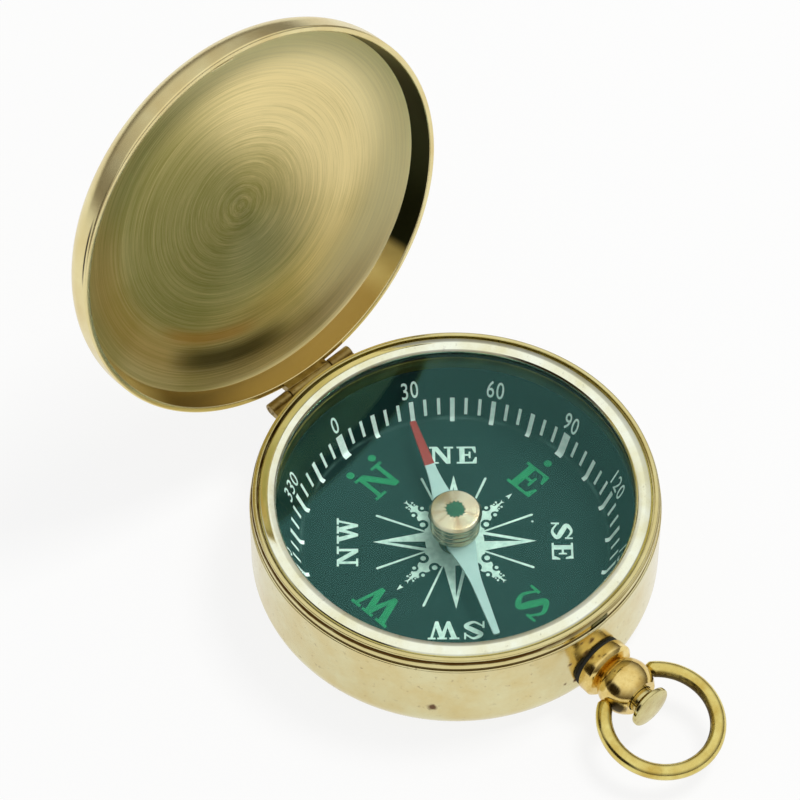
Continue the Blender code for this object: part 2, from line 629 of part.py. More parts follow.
def make_pendant(parent):
    """Turned pendant: spigot in the case wall, collar, neck and ball, bored for stem and spring.

    Heights in its profile, and in those of the pieces on its axis, are distances out from the case's axis.
    """
    bore = STEM_RADIUS + RUN
    inner_end = CASE_INNER_RADIUS + FIT
    collar_top = COLLAR_FACE + COLLAR_LENGTH
    start = math.degrees(math.acos(MOUTH_RADIUS / BALL_RADIUS))
    end = -math.degrees(math.acos(NECK_RADIUS / BALL_RADIUS))
    profile = [(SPRING_BORE_RADIUS, MOUTH_FACE)] + arc(0.0, BALL_CENTRE, BALL_RADIUS, start, end, 10)
    profile += [(NECK_RADIUS, collar_top), (COLLAR_RADIUS - COLLAR_BEVEL, collar_top)]
    profile += [(COLLAR_RADIUS, collar_top - COLLAR_BEVEL), (COLLAR_RADIUS, COLLAR_FACE)]
    profile += [(SPIGOT_RADIUS, COLLAR_FACE), (SPIGOT_RADIUS, inner_end), (bore, inner_end)]
    profile += [(bore, SPRING_SEAT), (SPRING_BORE_RADIUS, SPRING_SEAT)]
    pendant = turned("pendant", profile, SMALL)
    for side in (-1, 1):
        ends = sorted((side * (BALL_RADIUS - BOW_PIN_LENGTH - RUN), side * 2 * BALL_RADIUS))
        hole = rod("bow_hole", BOW_PIN_RADIUS + RUN, ends[0], ends[1], SMALL)
        hole.location = (0.0, 0.0, BOW_OUT)
        combine(pendant, cutter(hole, parent), "DIFFERENCE")
    place(pendant, brass("pendant brass"), parent)


def make_washer(parent):
    """Black washer between the collar and the case, hollowed to the case wall."""
    top = COLLAR_FACE - FIT
    hole = SPIGOT_RADIUS + FIT
    low = top - 2 * WASHER_THICKNESS
    profile = [(hole, top), (WASHER_RADIUS, top), (WASHER_RADIUS, low), (hole, low)]
    washer = turned("pendant_washer", profile, SMALL)
    wall = plug("washer_wall", CASE_RADIUS + FIT, -CASE_HEIGHT, CASE_HEIGHT, LARGE)
    combine(washer, cutter(wall), "DIFFERENCE")
    place(washer, new_material("washer black", (0.012, 0.012, 0.012), 0.5, 0.0), parent)


def make_button(parent):
    """Push button: face, cone, guide and stem, with a threaded end for the catch."""
    top = BUTTON_UNDERSIDE + BUTTON_THICKNESS
    guide = SPRING_BORE_RADIUS - RUN
    edge = BUTTON_THICKNESS / 4
    thread_start = CATCH_FACE + FIT
    end = CATCH_BACK - 2 * NUT_LENGTH
    profile = [(0.0, top), (BUTTON_RADIUS - edge, top), (BUTTON_RADIUS, top - edge)]
    profile += [(BUTTON_RADIUS, BUTTON_UNDERSIDE), (guide + BUTTON_CONE, BUTTON_UNDERSIDE)]
    profile += [(guide, BUTTON_UNDERSIDE - BUTTON_CONE), (guide, STEM_SHOULDER), (STEM_RADIUS, STEM_SHOULDER)]
    profile += [(STEM_RADIUS, thread_start), (THREAD_RADIUS, thread_start), (THREAD_RADIUS, end), (0.0, end)]
    place(turned("push_button", profile, SMALL, ring=False), brass("button brass"), parent)
    nut_top = CATCH_BACK - FIT
    hole = THREAD_RADIUS + FIT
    profile = [(hole, nut_top), (NUT_RADIUS, nut_top), (NUT_RADIUS, nut_top - NUT_LENGTH)]
    profile.append((hole, nut_top - NUT_LENGTH))
    place(turned("stem_nut", profile, SMALL), steel("nut steel"), parent)


def make_catch():
    """Sheet catch on the stem: an arm up inside the wall and a nose out through the rim's slot."""
    half = CATCH_WIDTH / 2
    foot = PENDANT_HEIGHT - CATCH_FOOT
    nose_tip = STRIKE_FACE - FIT
    arm = box("lid_catch", (-half, -CATCH_FACE, foot), (half, -CATCH_BACK, NOSE_TOP))
    nose_low = NOSE_TOP - NOSE_HEIGHT
    nose = box("catch_nose", (-half, -nose_tip, nose_low), (half, -CATCH_BACK, NOSE_TOP), CUTTERS)
    combine(arm, cutter(nose), "UNION")
    hole = plug("catch_hole", THREAD_RADIUS + FIT, CATCH_BACK - RUN, CATCH_FACE + RUN, SMALL)
    hole.rotation_euler = (math.pi / 2, 0.0, 0.0)
    hole.location = (0.0, 0.0, PENDANT_HEIGHT)
    combine(arm, cutter(hole), "DIFFERENCE")
    place(arm, steel("catch steel"), None)


def tube_curve(name, points, radii, closed=False):
    """A round wire along a run of points, with a radius at each."""
    curve = bpy.data.curves.new(name, "CURVE")
    curve.dimensions = "3D"
    curve.use_fill_caps = True
    curve.bevel_depth = max(radii)
    curve.bevel_resolution = 1
    spline = curve.splines.new("POLY")
    spline.points.add(len(points) - 1)
    spline.use_cyclic_u = closed
    for point, place_at, radius in zip(spline.points, points, radii):
        point.co = (*place_at, 1.0)
        point.radius = radius / max(radii)
    obj = bpy.data.objects.new(name, curve)
    PARTS.objects.link(obj)
    return obj


def make_spring(parent):
    """Coil spring round the stem, from its seat in the ball to the button's guide."""
    low = SPRING_SEAT + FIT + SPRING_WIRE_RADIUS
    high = STEM_SHOULDER - FIT - SPRING_WIRE_RADIUS
    loops = (high - low) / SPRING_PITCH
    count = int(SPRING_LOOP_POINTS * loops)
    points = []
    for i in range(count + 1):
        angle = 2 * math.pi * loops * i / count
        height = low + (high - low) * i / count
        points.append((SPRING_RADIUS * math.cos(angle), SPRING_RADIUS * math.sin(angle), height))
    gap = least_gap(points) - 2 * SPRING_WIRE_RADIUS
    print("return spring, least gap between loops: %.3f mm" % (gap / MM))
    spring = tube_curve("return_spring", points, [SPRING_WIRE_RADIUS] * len(points))
    place(spring, steel("spring steel"), parent)


def least_gap(points):
    """Least distance between points of the coil at least half a loop apart."""
    apart = SPRING_LOOP_POINTS // 2
    return min(math.dist(points[i], points[j])
               for i in range(len(points)) for j in range(i + apart, len(points)))


def make_bow():
    """Wire ring drawn in at its ends to two pins, which turn in the ball's side holes."""
    parent = pivot("bow_pivot", (0.0, -BOW_OUT, PENDANT_HEIGHT), (BOW_DROOP, 0.0, 0.0))
    opening = math.acos(BOW_CENTRE / BOW_RADIUS)
    inner = BALL_RADIUS - BOW_PIN_LENGTH
    points = [(inner, 0.0, 0.0), (BALL_RADIUS, 0.0, 0.0)]
    radii = [BOW_PIN_RADIUS, BOW_PIN_RADIUS]
    for i in range(BOW_POINTS + 1):
        angle = opening + 2 * (math.pi - opening) * i / BOW_POINTS
        points.append((BOW_RADIUS * math.sin(angle), BOW_RADIUS * math.cos(angle) - BOW_CENTRE, 0.0))
        radii.append(BOW_WIRE_RADIUS)
    points += [(-BALL_RADIUS, 0.0, 0.0), (-inner, 0.0, 0.0)]
    radii += [BOW_PIN_RADIUS, BOW_PIN_RADIUS]
    place(tube_curve("bow_ring", points, radii), brass("bow brass", 0.2), parent)


def make_front():
    """Pendant, washer, button, catch, spring and bow."""
    turn = (math.pi / 2, 0.0, 0.0)
    pendant_axis = pivot("pendant_axis", (0.0, 0.0, PENDANT_HEIGHT), turn)
    button_axis = pivot("button_axis", (0.0, 0.0, PENDANT_HEIGHT), turn)
    make_pendant(pendant_axis)
    make_washer(pendant_axis)
    make_spring(pendant_axis)
    make_button(button_axis)
    make_catch()
    make_bow()


make_case()
make_rim()
make_bezel()
make_glass()
make_gasket_and_spacer()
make_dial()
make_dial_base()
make_post_and_pin()
make_needle()
make_hinge()
make_lid()
make_front()
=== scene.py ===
import math

import bpy
from mathutils import Matrix, Vector


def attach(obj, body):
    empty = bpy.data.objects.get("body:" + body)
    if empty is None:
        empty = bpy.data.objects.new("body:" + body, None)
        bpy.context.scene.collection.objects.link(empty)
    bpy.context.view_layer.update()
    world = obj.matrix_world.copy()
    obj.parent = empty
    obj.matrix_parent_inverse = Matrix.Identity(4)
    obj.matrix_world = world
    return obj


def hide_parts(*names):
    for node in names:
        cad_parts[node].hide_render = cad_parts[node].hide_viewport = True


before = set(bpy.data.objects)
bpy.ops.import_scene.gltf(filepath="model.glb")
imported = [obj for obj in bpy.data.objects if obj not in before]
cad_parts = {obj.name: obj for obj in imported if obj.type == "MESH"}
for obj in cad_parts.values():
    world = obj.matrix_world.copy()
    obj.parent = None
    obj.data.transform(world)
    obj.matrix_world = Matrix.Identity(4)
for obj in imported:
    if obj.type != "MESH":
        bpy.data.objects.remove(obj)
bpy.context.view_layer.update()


# Camera. A long lens looks steeply down into the open case from its front left, so that the lid stands
# behind it at the upper left and the ring lies at the lower right.
MM = 0.001


def direction(turn, tilt):
    """The way out from the compass at a turn from its front and a tilt upward, in degrees."""
    turn = math.radians(turn)
    tilt = math.radians(tilt)
    return Vector((math.sin(turn) * math.cos(tilt), -math.cos(turn) * math.cos(tilt), math.sin(tilt)))


view_turn = -43.02
view_tilt = 52.65
view_distance = 474.0
toward = direction(view_turn, view_tilt)
across = direction(view_turn + 90, 0.0)
upward = toward.cross(across)
lens = bpy.data.cameras.new("camera")
lens.lens = 193.9
lens.clip_start = 0.01
camera = bpy.data.objects.new("camera", lens)
bpy.context.scene.collection.objects.link(camera)
aim = Vector((0.0, 0.0, 4.25)) - 6.03 * across + 15.55 * upward
stand = aim + view_distance * toward
axes = Matrix((across, upward, toward)).transposed().to_4x4()
camera.matrix_world = Matrix.Translation(stand * MM) @ axes
bpy.context.scene.camera = camera
bpy.context.scene.view_settings.view_transform = "Standard"


# Studio. A sheet of white card under the compass, a white tent round it and one soft lamp high on the right.
# Metal and glass mirror the tent, a darker room low down and a dark doorway on the left.
def srgb(code):
    """A colour written as sRGB hex, in the linear values that shaders take."""
    parts = [int(code[i:i + 2], 16) / 255 for i in (1, 3, 5)]
    return [p / 12.92 if p <= 0.04045 else ((p + 0.055) / 1.055) ** 2.4 for p in parts] + [1.0]


def set_inputs(tree, node, inputs):
    """Sets a node's inputs, each from a value or linked from another node or one of its outputs."""
    for name, value in inputs.items():
        if isinstance(value, bpy.types.Node):
            value = next(output for output in value.outputs if output.enabled)
        if isinstance(value, bpy.types.NodeSocket):
            tree.links.new(value, node.inputs[name])
        else:
            node.inputs[name].default_value = value


def add_node(tree, kind, inputs=None, **settings):
    """Adds a shader node with its settings and its inputs; every mix is one of colours."""
    node = tree.nodes.new("ShaderNode" + kind)
    if kind == "Mix":
        node.data_type = "RGBA"
    for name, value in settings.items():
        setattr(node, name, value)
    set_inputs(tree, node, inputs or {})
    return node


def new_finish(name):
    """A new material with its node tree and its shader."""
    finish = bpy.data.materials.new(name)
    finish.use_nodes = True
    return finish, finish.node_tree, finish.node_tree.nodes["Principled BSDF"]


card, tree, shader = new_finish("white card")
set_inputs(tree, shader, {"Base Color": srgb("#f6f6f4"), "Roughness": 0.9, "Specular IOR Level": 0.1})
rays = add_node(tree, "LightPath")
seen = add_node(tree, "Math", {0: rays.outputs["Is Camera Ray"], 1: rays.outputs["Is Transmission Ray"]},
                operation="MAXIMUM")
seen = add_node(tree, "Math", {0: seen, 1: rays.outputs["Is Glossy Ray"]}, operation="MAXIMUM")
pale = add_node(tree, "Math", {0: seen, 1: 0.85}, operation="MULTIPLY")
white = srgb("#ffffff")
glow = add_node(tree, "Emission", {"Color": white, "Strength": 1.0})
both = add_node(tree, "MixShader", {0: pale, 1: shader, 2: glow})
set_inputs(tree, tree.nodes["Material Output"], {"Surface": both})
bpy.ops.object.select_all(action="DESELECT")
bpy.ops.mesh.primitive_plane_add(size=3.0)
floor = bpy.context.object
floor.name = "card_floor"
floor.data.materials.append(card)

tent = bpy.data.worlds.new("white tent")
tent.use_nodes = True
tree = tent.node_tree
rays = add_node(tree, "LightPath")
seen = add_node(tree, "Math", {0: rays.outputs["Is Camera Ray"], 1: rays.outputs["Is Transmission Ray"]},
                operation="MAXIMUM")
way = add_node(tree, "TexCoord")
rise = add_node(tree, "SeparateXYZ", {0: way.outputs["Generated"]})
wall = add_node(tree, "MapRange", {"Value": rise.outputs[2], "From Min": 0.06, "From Max": 0.74})
room = add_node(tree, "Mix", {0: wall, 6: srgb("#5b5347"), 7: white})
for doorway in ((-0.92, 0.0, 0.39), (-0.89, 0.27, 0.37)):
    facing = add_node(tree, "VectorMath", {0: way.outputs["Generated"], 1: doorway},
                      operation="DOT_PRODUCT")
    dark = add_node(tree, "MapRange", {"Value": facing, "From Min": 0.92, "From Max": 0.97})
    room = add_node(tree, "Mix", {0: dark, 6: room, 7: srgb("#2b2418")})
lit = tree.nodes["Background"]
set_inputs(tree, lit, {"Color": white, "Strength": 0.5})
shown = add_node(tree, "Background", {"Color": white, "Strength": 1.0})
mirrored = add_node(tree, "Background", {"Color": room, "Strength": 1.0})
either = add_node(tree, "MixShader", {0: rays.outputs["Is Glossy Ray"], 1: lit, 2: mirrored})
both = add_node(tree, "MixShader", {0: seen, 1: either, 2: shown})
set_inputs(tree, tree.nodes["World Output"], {"Surface": both})
bpy.context.scene.world = tent

lamp = bpy.data.lights.new("key_lamp", "AREA")
lamp.shape = "SQUARE"
lamp.size = 0.25
lamp.energy = 3.0
lamp_way = direction(75.0, 66.0)
lamp_distance = 0.8
hung = bpy.data.objects.new("key_lamp", lamp)
hung.location = lamp_way * lamp_distance
hung.rotation_euler = lamp_way.to_track_quat("Z", "Y").to_euler()
hung.visible_glossy = False
bpy.context.scene.collection.objects.link(hung)


# Case. A cup spun from brass sheet, polished bright by hand and gone blotchy with handling. A hole bored in
# its front takes the pendant, and the rim ring is pressed into its mouth.
def brass(name, clean, worn, mark_colour, gloss=0.16, blotch=4.5, flecks=0.3, marks=0.12, stain_and_shade_spots=()):
    """Hand-polished brass: clean and worn colours in blotches, stained flecks, dark patches and polishing
    marks; the dark patches are stained places on some pieces and painted shade and painted dark reflection
    on others.

    The marks run round the piece; its UV map holds the turn and the length along the profile in mm.
    """
    finish, tree, shader = new_finish(name)
    spot = add_node(tree, "TexCoord")
    cloud = add_node(tree, "TexNoise", {"Vector": spot.outputs["Object"], "Scale": 1 / (blotch * MM),
                                        "Detail": 4.0, "Roughness": 0.6})
    wear = add_node(tree, "MapRange", {"Value": cloud, "From Min": 0.36, "From Max": 0.68})
    body = add_node(tree, "Mix", {0: wear, 6: srgb(clean), 7: srgb(worn)})
    grit = add_node(tree, "TexNoise", {"Vector": spot.outputs["Object"], "Scale": 1 / (0.55 * MM),
                                       "Detail": 3.0})
    fleck = add_node(tree, "MapRange", {"Value": grit, "From Min": 0.64, "From Max": 0.74,
                                        "To Max": flecks})
    darkening = fleck
    # Dark patches round given points: stained places on the case, painted shade and painted dark reflection
    # on the pendant ball and along the ring's inner edge.
    for place, full, gone in stain_and_shade_spots:
        reach = add_node(tree, "VectorMath", {0: spot.outputs["Object"], 1: Vector(place) * MM},
                         operation="DISTANCE")
        fade = 1.5 * (gone - full) * MM
        ragged = add_node(tree, "Math", {0: grit, 1: fade, 2: reach}, operation="MULTIPLY_ADD")
        patch_mask = add_node(tree, "MapRange", {"Value": ragged, "From Min": gone * MM + fade / 2,
                                           "From Max": full * MM + fade / 2, "To Max": 0.9})
        darkening = add_node(tree, "Math", {0: darkening, 1: patch_mask}, operation="MAXIMUM")
    colour = add_node(tree, "Mix", {0: darkening, 6: body, 7: srgb(mark_colour)})
    drawn = add_node(tree, "VectorMath", {0: spot.outputs["UV"], 1: (50.0, 9.0, 1.0)},
                     operation="MULTIPLY")
    polish = add_node(tree, "TexNoise", {"Vector": drawn, "Scale": 1.0, "Detail": 4.0})
    rough = add_node(tree, "MapRange", {"Value": polish, "From Min": 0.3, "From Max": 0.7,
                                        "To Min": 0.7 * gloss, "To Max": 1.4 * gloss})
    rougher = add_node(tree, "Math", {0: darkening, 1: 0.4, 2: rough}, operation="MULTIPLY_ADD")
    relief = add_node(tree, "Bump", {"Height": polish, "Strength": marks, "Distance": 0.01 * MM})
    set_inputs(tree, shader, {"Base Color": colour, "Metallic": 1.0, "Roughness": rougher,
                              "Normal": relief})
    return finish


def rounded(corners):
    """A profile whose corners, given as (radius, height, rounding) in mm, are drawn as arcs."""
    points = []
    for i, corner in enumerate(corners):
        here = Vector(corner[:2])
        if len(corner) == 2:
            points.append(here)
            continue
        before = (Vector(corners[i - 1][:2]) - here).normalized()
        after = (Vector(corners[(i + 1) % len(corners)][:2]) - here).normalized()
        half = before.angle(after) / 2
        centre = here + (before + after).normalized() * corner[2] / math.sin(half)
        first = here + before * corner[2] / math.tan(half) - centre
        last = here + after * corner[2] / math.tan(half) - centre
        steps = 3 + int(4 * corner[2])
        points += [centre + corner[2] * first.slerp(last, k / steps) for k in range(steps + 1)]
    return points


def turned(name, profile, ring=True, steps=192, place=Matrix()):
    """Turns a profile of (radius, height) in mm about Z, and puts the piece in its place.

    Its UV map holds the turn, from 0 to 1, and the length along the profile in mm.
    """
    profile = [Vector(point) for point in profile]
    if ring:
        profile.append(profile[0])
    bpy.ops.object.select_all(action="DESELECT")
    bpy.ops.mesh.primitive_plane_add(size=MM)
    piece = bpy.context.object
    piece.name = name
    bpy.ops.object.mode_set(mode="EDIT")
    bpy.ops.mesh.select_all(action="SELECT")
    bpy.ops.mesh.merge(type="CENTER")
    bpy.ops.transform.translate(value=(profile[0].x * MM, 0.0, profile[0].y * MM))
    for here, there in zip(profile, profile[1:]):
        step = (there - here) * MM
        bpy.ops.mesh.extrude_vertices_move(TRANSFORM_OT_translate={"value": (step.x, 0.0, step.y)})
    bpy.ops.object.mode_set(mode="OBJECT")
    along = piece.data.attributes.new("along", "FLOAT", "POINT")
    run = 0.0
    for i, point in enumerate(profile):
        run += (point - profile[max(i - 1, 0)]).length
        along.data[i].value = run
    bpy.ops.object.mode_set(mode="EDIT")
    bpy.ops.mesh.select_all(action="SELECT")
    bpy.ops.mesh.spin(steps=steps, angle=2 * math.pi, center=(0.0, 0.0, 0.0), axis=(0.0, 0.0, 1.0))
    bpy.ops.object.mode_set(mode="OBJECT")
    mesh = piece.data
    for layer in list(mesh.uv_layers):
        mesh.uv_layers.remove(layer)
    chart = mesh.uv_layers.new(name="turning")
    along = mesh.attributes["along"]
    for face in mesh.polygons:
        middle = math.atan2(face.center.y, face.center.x)
        for corner in face.loop_indices:
            index = mesh.loops[corner].vertex_index
            spot = mesh.vertices[index].co
            turn = middle
            if math.hypot(spot.x, spot.y) > 0.001 * MM:
                turn = math.atan2(spot.y, spot.x)
            turn -= 2 * math.pi * round((turn - middle) / (2 * math.pi))
            chart.data[corner].uv = (turn / (2 * math.pi), along.data[index].value)
    mesh.attributes.remove(mesh.attributes["along"])
    bpy.ops.object.mode_set(mode="EDIT")
    bpy.ops.mesh.select_all(action="SELECT")
    bpy.ops.mesh.remove_doubles(threshold=0.0005 * MM)
    bpy.ops.mesh.normals_make_consistent(inside=False)
    bpy.ops.object.mode_set(mode="OBJECT")
    piece.matrix_world = place
    bpy.ops.object.transform_apply()
    return piece


def cut(piece, tool):
    """Cuts a tool body out of a piece."""
    bite = piece.modifiers.new("cut", "BOOLEAN")
    bite.operation = "DIFFERENCE"
    bite.solver = "EXACT"
    bite.object = tool
    bpy.ops.object.select_all(action="DESELECT")
    bpy.context.view_layer.objects.active = piece
    bpy.ops.object.modifier_apply(modifier="cut")
    bpy.data.objects.remove(tool)


def fitted(piece, body, finish, slot, *nodes):
    """Gives a piece its finish, smooth faces between sharp edges, its body and the nodes it stands for."""
    bpy.ops.object.select_all(action="DESELECT")
    piece.select_set(True)
    bpy.context.view_layer.objects.active = piece
    bpy.ops.object.shade_smooth_by_angle(angle=math.radians(32))
    flatten = piece.modifiers.new("flatten", "WEIGHTED_NORMAL")
    flatten.keep_sharp = True
    bpy.ops.object.modifier_apply(modifier="flatten")
    piece.data.materials.clear()
    piece.data.materials.append(finish)
    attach(piece, body)
    if nodes:
        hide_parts(*nodes)


pendant_height = 4.9
pendant_axis = Matrix.Translation((0.0, 0.0, pendant_height * MM)) @ Matrix.Rotation(math.pi / 2, 4, "X")
case_brass = brass("hand-polished brass case", "#dad2a4", "#d4c38b", "#62391f", stain_and_shade_spots=[
    ((-17.1, -14.5, 5.0), 0.3, 0.7), ((-4.0, -22.0, 8.0), 0.1, 0.4), ((-3.2, -22.2, 4.4), 0.1, 0.45),
    ((-4.5, -21.9, 4.7), 0.05, 0.3), ((-1.2, -22.4, 10.2), 0.1, 0.6), ((-1.9, -22.3, 8.4), 0.1, 0.7),
    ((-2.6, -22.2, 10.9), 0.05, 0.3)])
cup = turned("case_cup", rounded([(0.0, 0.9), (21.5, 0.9, 2.6), (21.5, 11.8, 0.15), (22.4, 11.8, 0.2),
                                  (22.4, 0.0, 3.5), (0.0, 0.0)]), ring=False)
cut(cup, turned("drill", [(0.0, 24.0), (1.85, 24.0), (1.85, 20.0), (0.0, 20.0)], ring=False, steps=48,
                place=pendant_axis))
fitted(cup, "case", case_brass, "case_brass", "case_body")


# Rim ring. Turned brass pressed into the case: a bead that the lid shuts down on, grooves beside it that
# polish never reaches and that have gone brown, and a slot at the front for the lid's catch.
rim_brass, tree, shader = new_finish("turned brass rim")
spot = add_node(tree, "TexCoord")
place = add_node(tree, "SeparateXYZ", {0: spot.outputs["Object"]})
cloud = add_node(tree, "TexNoise", {"Vector": spot.outputs["Object"], "Scale": 1 / (3.0 * MM),
                                    "Detail": 4.0})
bead = add_node(tree, "Mix", {0: cloud, 6: srgb("#e0d9a4"), 7: srgb("#c9b673")})
edge = add_node(tree, "Math", {0: cloud, 1: 0.35 * MM, 2: place.outputs[2]}, operation="MULTIPLY_ADD")
grime = add_node(tree, "MapRange", {"Value": edge, "From Min": 12.4 * MM, "From Max": 12.24 * MM,
                                    "To Max": 0.85})
off = add_node(tree, "Math", {0: edge, 1: 13.22 * MM}, operation="SUBTRACT")
off = add_node(tree, "Math", {0: off}, operation="ABSOLUTE")
left = add_node(tree, "MapRange", {"Value": place.outputs[0], "From Min": 6 * MM, "From Max": -8 * MM,
                                   "To Min": 0.25})
fold = add_node(tree, "MapRange", {"Value": off, "From Min": 0.24 * MM, "From Max": 0.1 * MM,
                                   "To Max": left})
grime = add_node(tree, "Math", {0: grime, 1: fold}, operation="MAXIMUM")
colour = add_node(tree, "Mix", {0: grime, 6: bead, 7: srgb("#5a3f18")})
rough = add_node(tree, "MapRange", {"Value": grime, "To Min": 0.16, "To Max": 0.5})
set_inputs(tree, shader, {"Base Color": colour, "Metallic": 1.0, "Roughness": rough})
rim = turned("rim_ring_turned", rounded([
    (21.58, 13.5, 0.08), (22.05, 13.5, 0.15), (22.05, 13.18, 0.05), (21.97, 13.13, 0.03),
    (21.97, 13.0, 0.03), (22.22, 12.92, 0.15), (22.22, 12.1, 0.15), (22.14, 12.1, 0.03),
    (22.14, 11.85, 0.03), (21.45, 11.85), (21.45, 8.8), (19.9, 8.8), (19.9, 9.3), (20.15, 9.3),
    (20.15, 12.9), (21.58, 12.9)]))
bpy.ops.mesh.primitive_cube_add(size=MM)
bar = bpy.context.object
slot_middle = Vector((0.0, -21.0, 10.6)) * MM
slot_size = (2.4, 3.2, 4.5)
bar.matrix_world = Matrix.Translation(slot_middle) @ Matrix.Diagonal((*slot_size, 1.0))
bpy.ops.object.transform_apply()
cut(rim, bar)
fitted(rim, "case", rim_brass, "rim_brass", "rim_ring")


# Bezel. A ring turned from brass with a crowned face and dropped into the rim over the glass, which it holds
# down; it is the brightest polished piece of all.
bezel_brass = brass("bright brass bezel", "#f4f8e4", "#e8e6c0", "#6d5a2a", gloss=0.1, flecks=0.15,
                    marks=0.06)
bezel = turned("bezel_turned", rounded([
    (19.5, 13.2, 0.1), (19.68, 13.46, 0.15), (20.4, 13.72, 0.7), (21.15, 13.46, 0.2), (21.4, 13.2, 0.1),
    (21.4, 12.95, 0.05), (19.5, 12.95, 0.05)]))
fitted(bezel, "case", bezel_brass, "bezel_brass", "bezel")


# Glass, gasket and spacer. A flat glass lies under the bezel on a thin rubber gasket, and a plain brass
# ring below that, dull since it was shut in, holds the dial down.
window, tree, shader = new_finish("clear flat glass")
spot = add_node(tree, "TexCoord")
smear = add_node(tree, "TexNoise", {"Vector": spot.outputs["Object"], "Scale": 1 / (9.0 * MM),
                                    "Detail": 3.0})
haze = add_node(tree, "MapRange", {"Value": smear, "From Min": 0.5, "From Max": 0.8, "To Min": 0.0,
                                   "To Max": 0.03})
set_inputs(tree, shader, {"Base Color": srgb("#f4fbf8"), "Transmission Weight": 1.0, "IOR": 1.5,
                          "Specular Tint": srgb("#70cdbe"), "Roughness": haze})
rays = add_node(tree, "LightPath")
through = add_node(tree, "BsdfTransparent", {"Color": srgb("#f4fbf8")})
both = add_node(tree, "MixShader", {0: rays.outputs["Is Shadow Ray"], 1: shader, 2: through})
set_inputs(tree, tree.nodes["Material Output"], {"Surface": both})
pane = turned("glass_pane", rounded([(0.0, 12.9), (20.1, 12.9, 0.1), (20.1, 11.7, 0.1), (0.0, 11.7)]),
              ring=False)
fitted(pane, "case", window, "window_glass", "glass")

rubber, tree, shader = new_finish("black rubber")
spot = add_node(tree, "TexCoord")
bloom = add_node(tree, "TexNoise", {"Vector": spot.outputs["Object"], "Scale": 1 / (1.2 * MM)})
colour = add_node(tree, "Mix", {0: bloom, 6: srgb("#141614"), 7: srgb("#262925")})
set_inputs(tree, shader, {"Base Color": colour, "Roughness": 0.75})
gasket = turned("gasket_ring", rounded([(19.7, 11.66, 0.04), (20.1, 11.66, 0.04), (20.1, 11.5, 0.04),
                                        (19.7, 11.5, 0.04)]))
fitted(gasket, "case", rubber, "gasket_rubber", "glass_gasket")

inner_brass = brass("dull brass inside", "#7d7a45", "#5f5f36", "#2f2c14", gloss=0.4)
spacer = turned("spacer_turned", rounded([(19.55, 11.48, 0.08), (20.1, 11.48, 0.08), (20.1, 9.7, 0.08),
                                          (19.55, 9.7, 0.08)]))
fitted(spacer, "case", inner_brass, "inner_brass", "spacer_ring")


# Dial. A cup pressed from thin sheet and enamelled a dark bluish green: a flat centre, a steep flange for
# the degree scale and a narrow lip. A pale band along the fold is a painted highlight.
dial_turn = math.radians(2.5)
fold_radius = 16.94
flat_height = 3.75
fold_round = 0.5
flange_angle = math.atan2(5.9, 2.56)
enamel, tree, shader = new_finish("dark green enamel")
spot = add_node(tree, "TexCoord")
place = add_node(tree, "VectorMath", {0: spot.outputs["Object"], 1: (1.0, 1.0, 0.0)},
                 operation="MULTIPLY")
out = add_node(tree, "VectorMath", {0: place}, operation="LENGTH")
off = add_node(tree, "Math", {0: out, 1: 16.95 * MM}, operation="SUBTRACT")
off = add_node(tree, "Math", {0: off}, operation="ABSOLUTE")
cloud = add_node(tree, "TexNoise", {"Vector": spot.outputs["Object"], "Scale": 1 / (3.5 * MM),
                                    "Detail": 4.0})
# Painted highlight: the enamel is painted paler in ragged patches along the fold.
fold_highlight_patches = add_node(tree, "MapRange", {"Value": cloud, "From Min": 0.42, "From Max": 0.62, "To Min": 0.05,
                                  "To Max": 0.55})
fold = add_node(tree, "MapRange", {"Value": off, "From Min": 0.22 * MM, "From Max": 0.02 * MM,
                                   "To Max": fold_highlight_patches})
ground = add_node(tree, "Mix", {0: cloud, 6: srgb("#122625"), 7: srgb("#18312f")})
colour = add_node(tree, "Mix", {0: fold, 6: ground, 7: srgb("#4d6a64")})
peel = add_node(tree, "TexNoise", {"Vector": spot.outputs["Object"], "Scale": 1 / (0.4 * MM)})
relief = add_node(tree, "Bump", {"Height": peel, "Strength": 0.1, "Distance": 0.01 * MM})
set_inputs(tree, shader, {"Base Color": colour, "Roughness": 0.5, "Normal": relief,
                          "Specular IOR Level": 0.06})
dial = turned("dial_cup", rounded([
    (1.25, flat_height), (fold_radius, flat_height, fold_round), (19.5, 9.65, 0.3), (20.1, 9.65, 0.08),
    (20.1, 9.35, 0.05), (19.7, 9.35, 0.3), (17.14, 3.45, 0.4), (1.25, 3.45)]))
fitted(dial, "case", enamel, "dial_enamel", "dial")


# Printing on the dial. White and green ink printed through a screen: the degree scale and its numbers on
# the flange, and on the flat face the compass rose, the letters of eight bearings and green dots by N and E.
ink_lift = 0.012


def ink(name, thick, thin):
    """Printing ink, a little uneven."""
    finish, tree, shader = new_finish(name)
    spot = add_node(tree, "TexCoord")
    cloud = add_node(tree, "TexNoise", {"Vector": spot.outputs["Object"], "Scale": 1 / (0.6 * MM),
                                        "Detail": 3.0})
    share = add_node(tree, "MapRange", {"Value": cloud, "From Min": 0.35, "From Max": 0.75})
    colour = add_node(tree, "Mix", {0: share, 6: srgb(thick), 7: srgb(thin)})
    set_inputs(tree, shader, {"Base Color": colour, "Roughness": 0.55, "Specular IOR Level": 0.2})
    return finish


scale_ink = ink("thick white scale ink", "#e6f4ee", "#c9e2da")
white_ink = ink("white dial ink", "#c0d8cd", "#9fbdb3")
green_ink = ink("green dial ink", "#15804f", "#116b44")


def dial_face(along):
    """Radius and height in mm of ink at a distance outward from the fold, measured over the dial's face."""
    reach = fold_round * math.tan(flange_angle / 2)
    part = min(max((along + reach) / (2 * reach), 0.0), 1.0)
    slope = part * flange_angle
    arm = fold_round - ink_lift
    radius = fold_radius - reach + arm * math.sin(slope)
    height = flat_height + fold_round - arm * math.cos(slope)
    beyond = along - reach * (2 * part - 1)
    return radius + beyond * math.cos(slope), height + beyond * math.sin(slope)


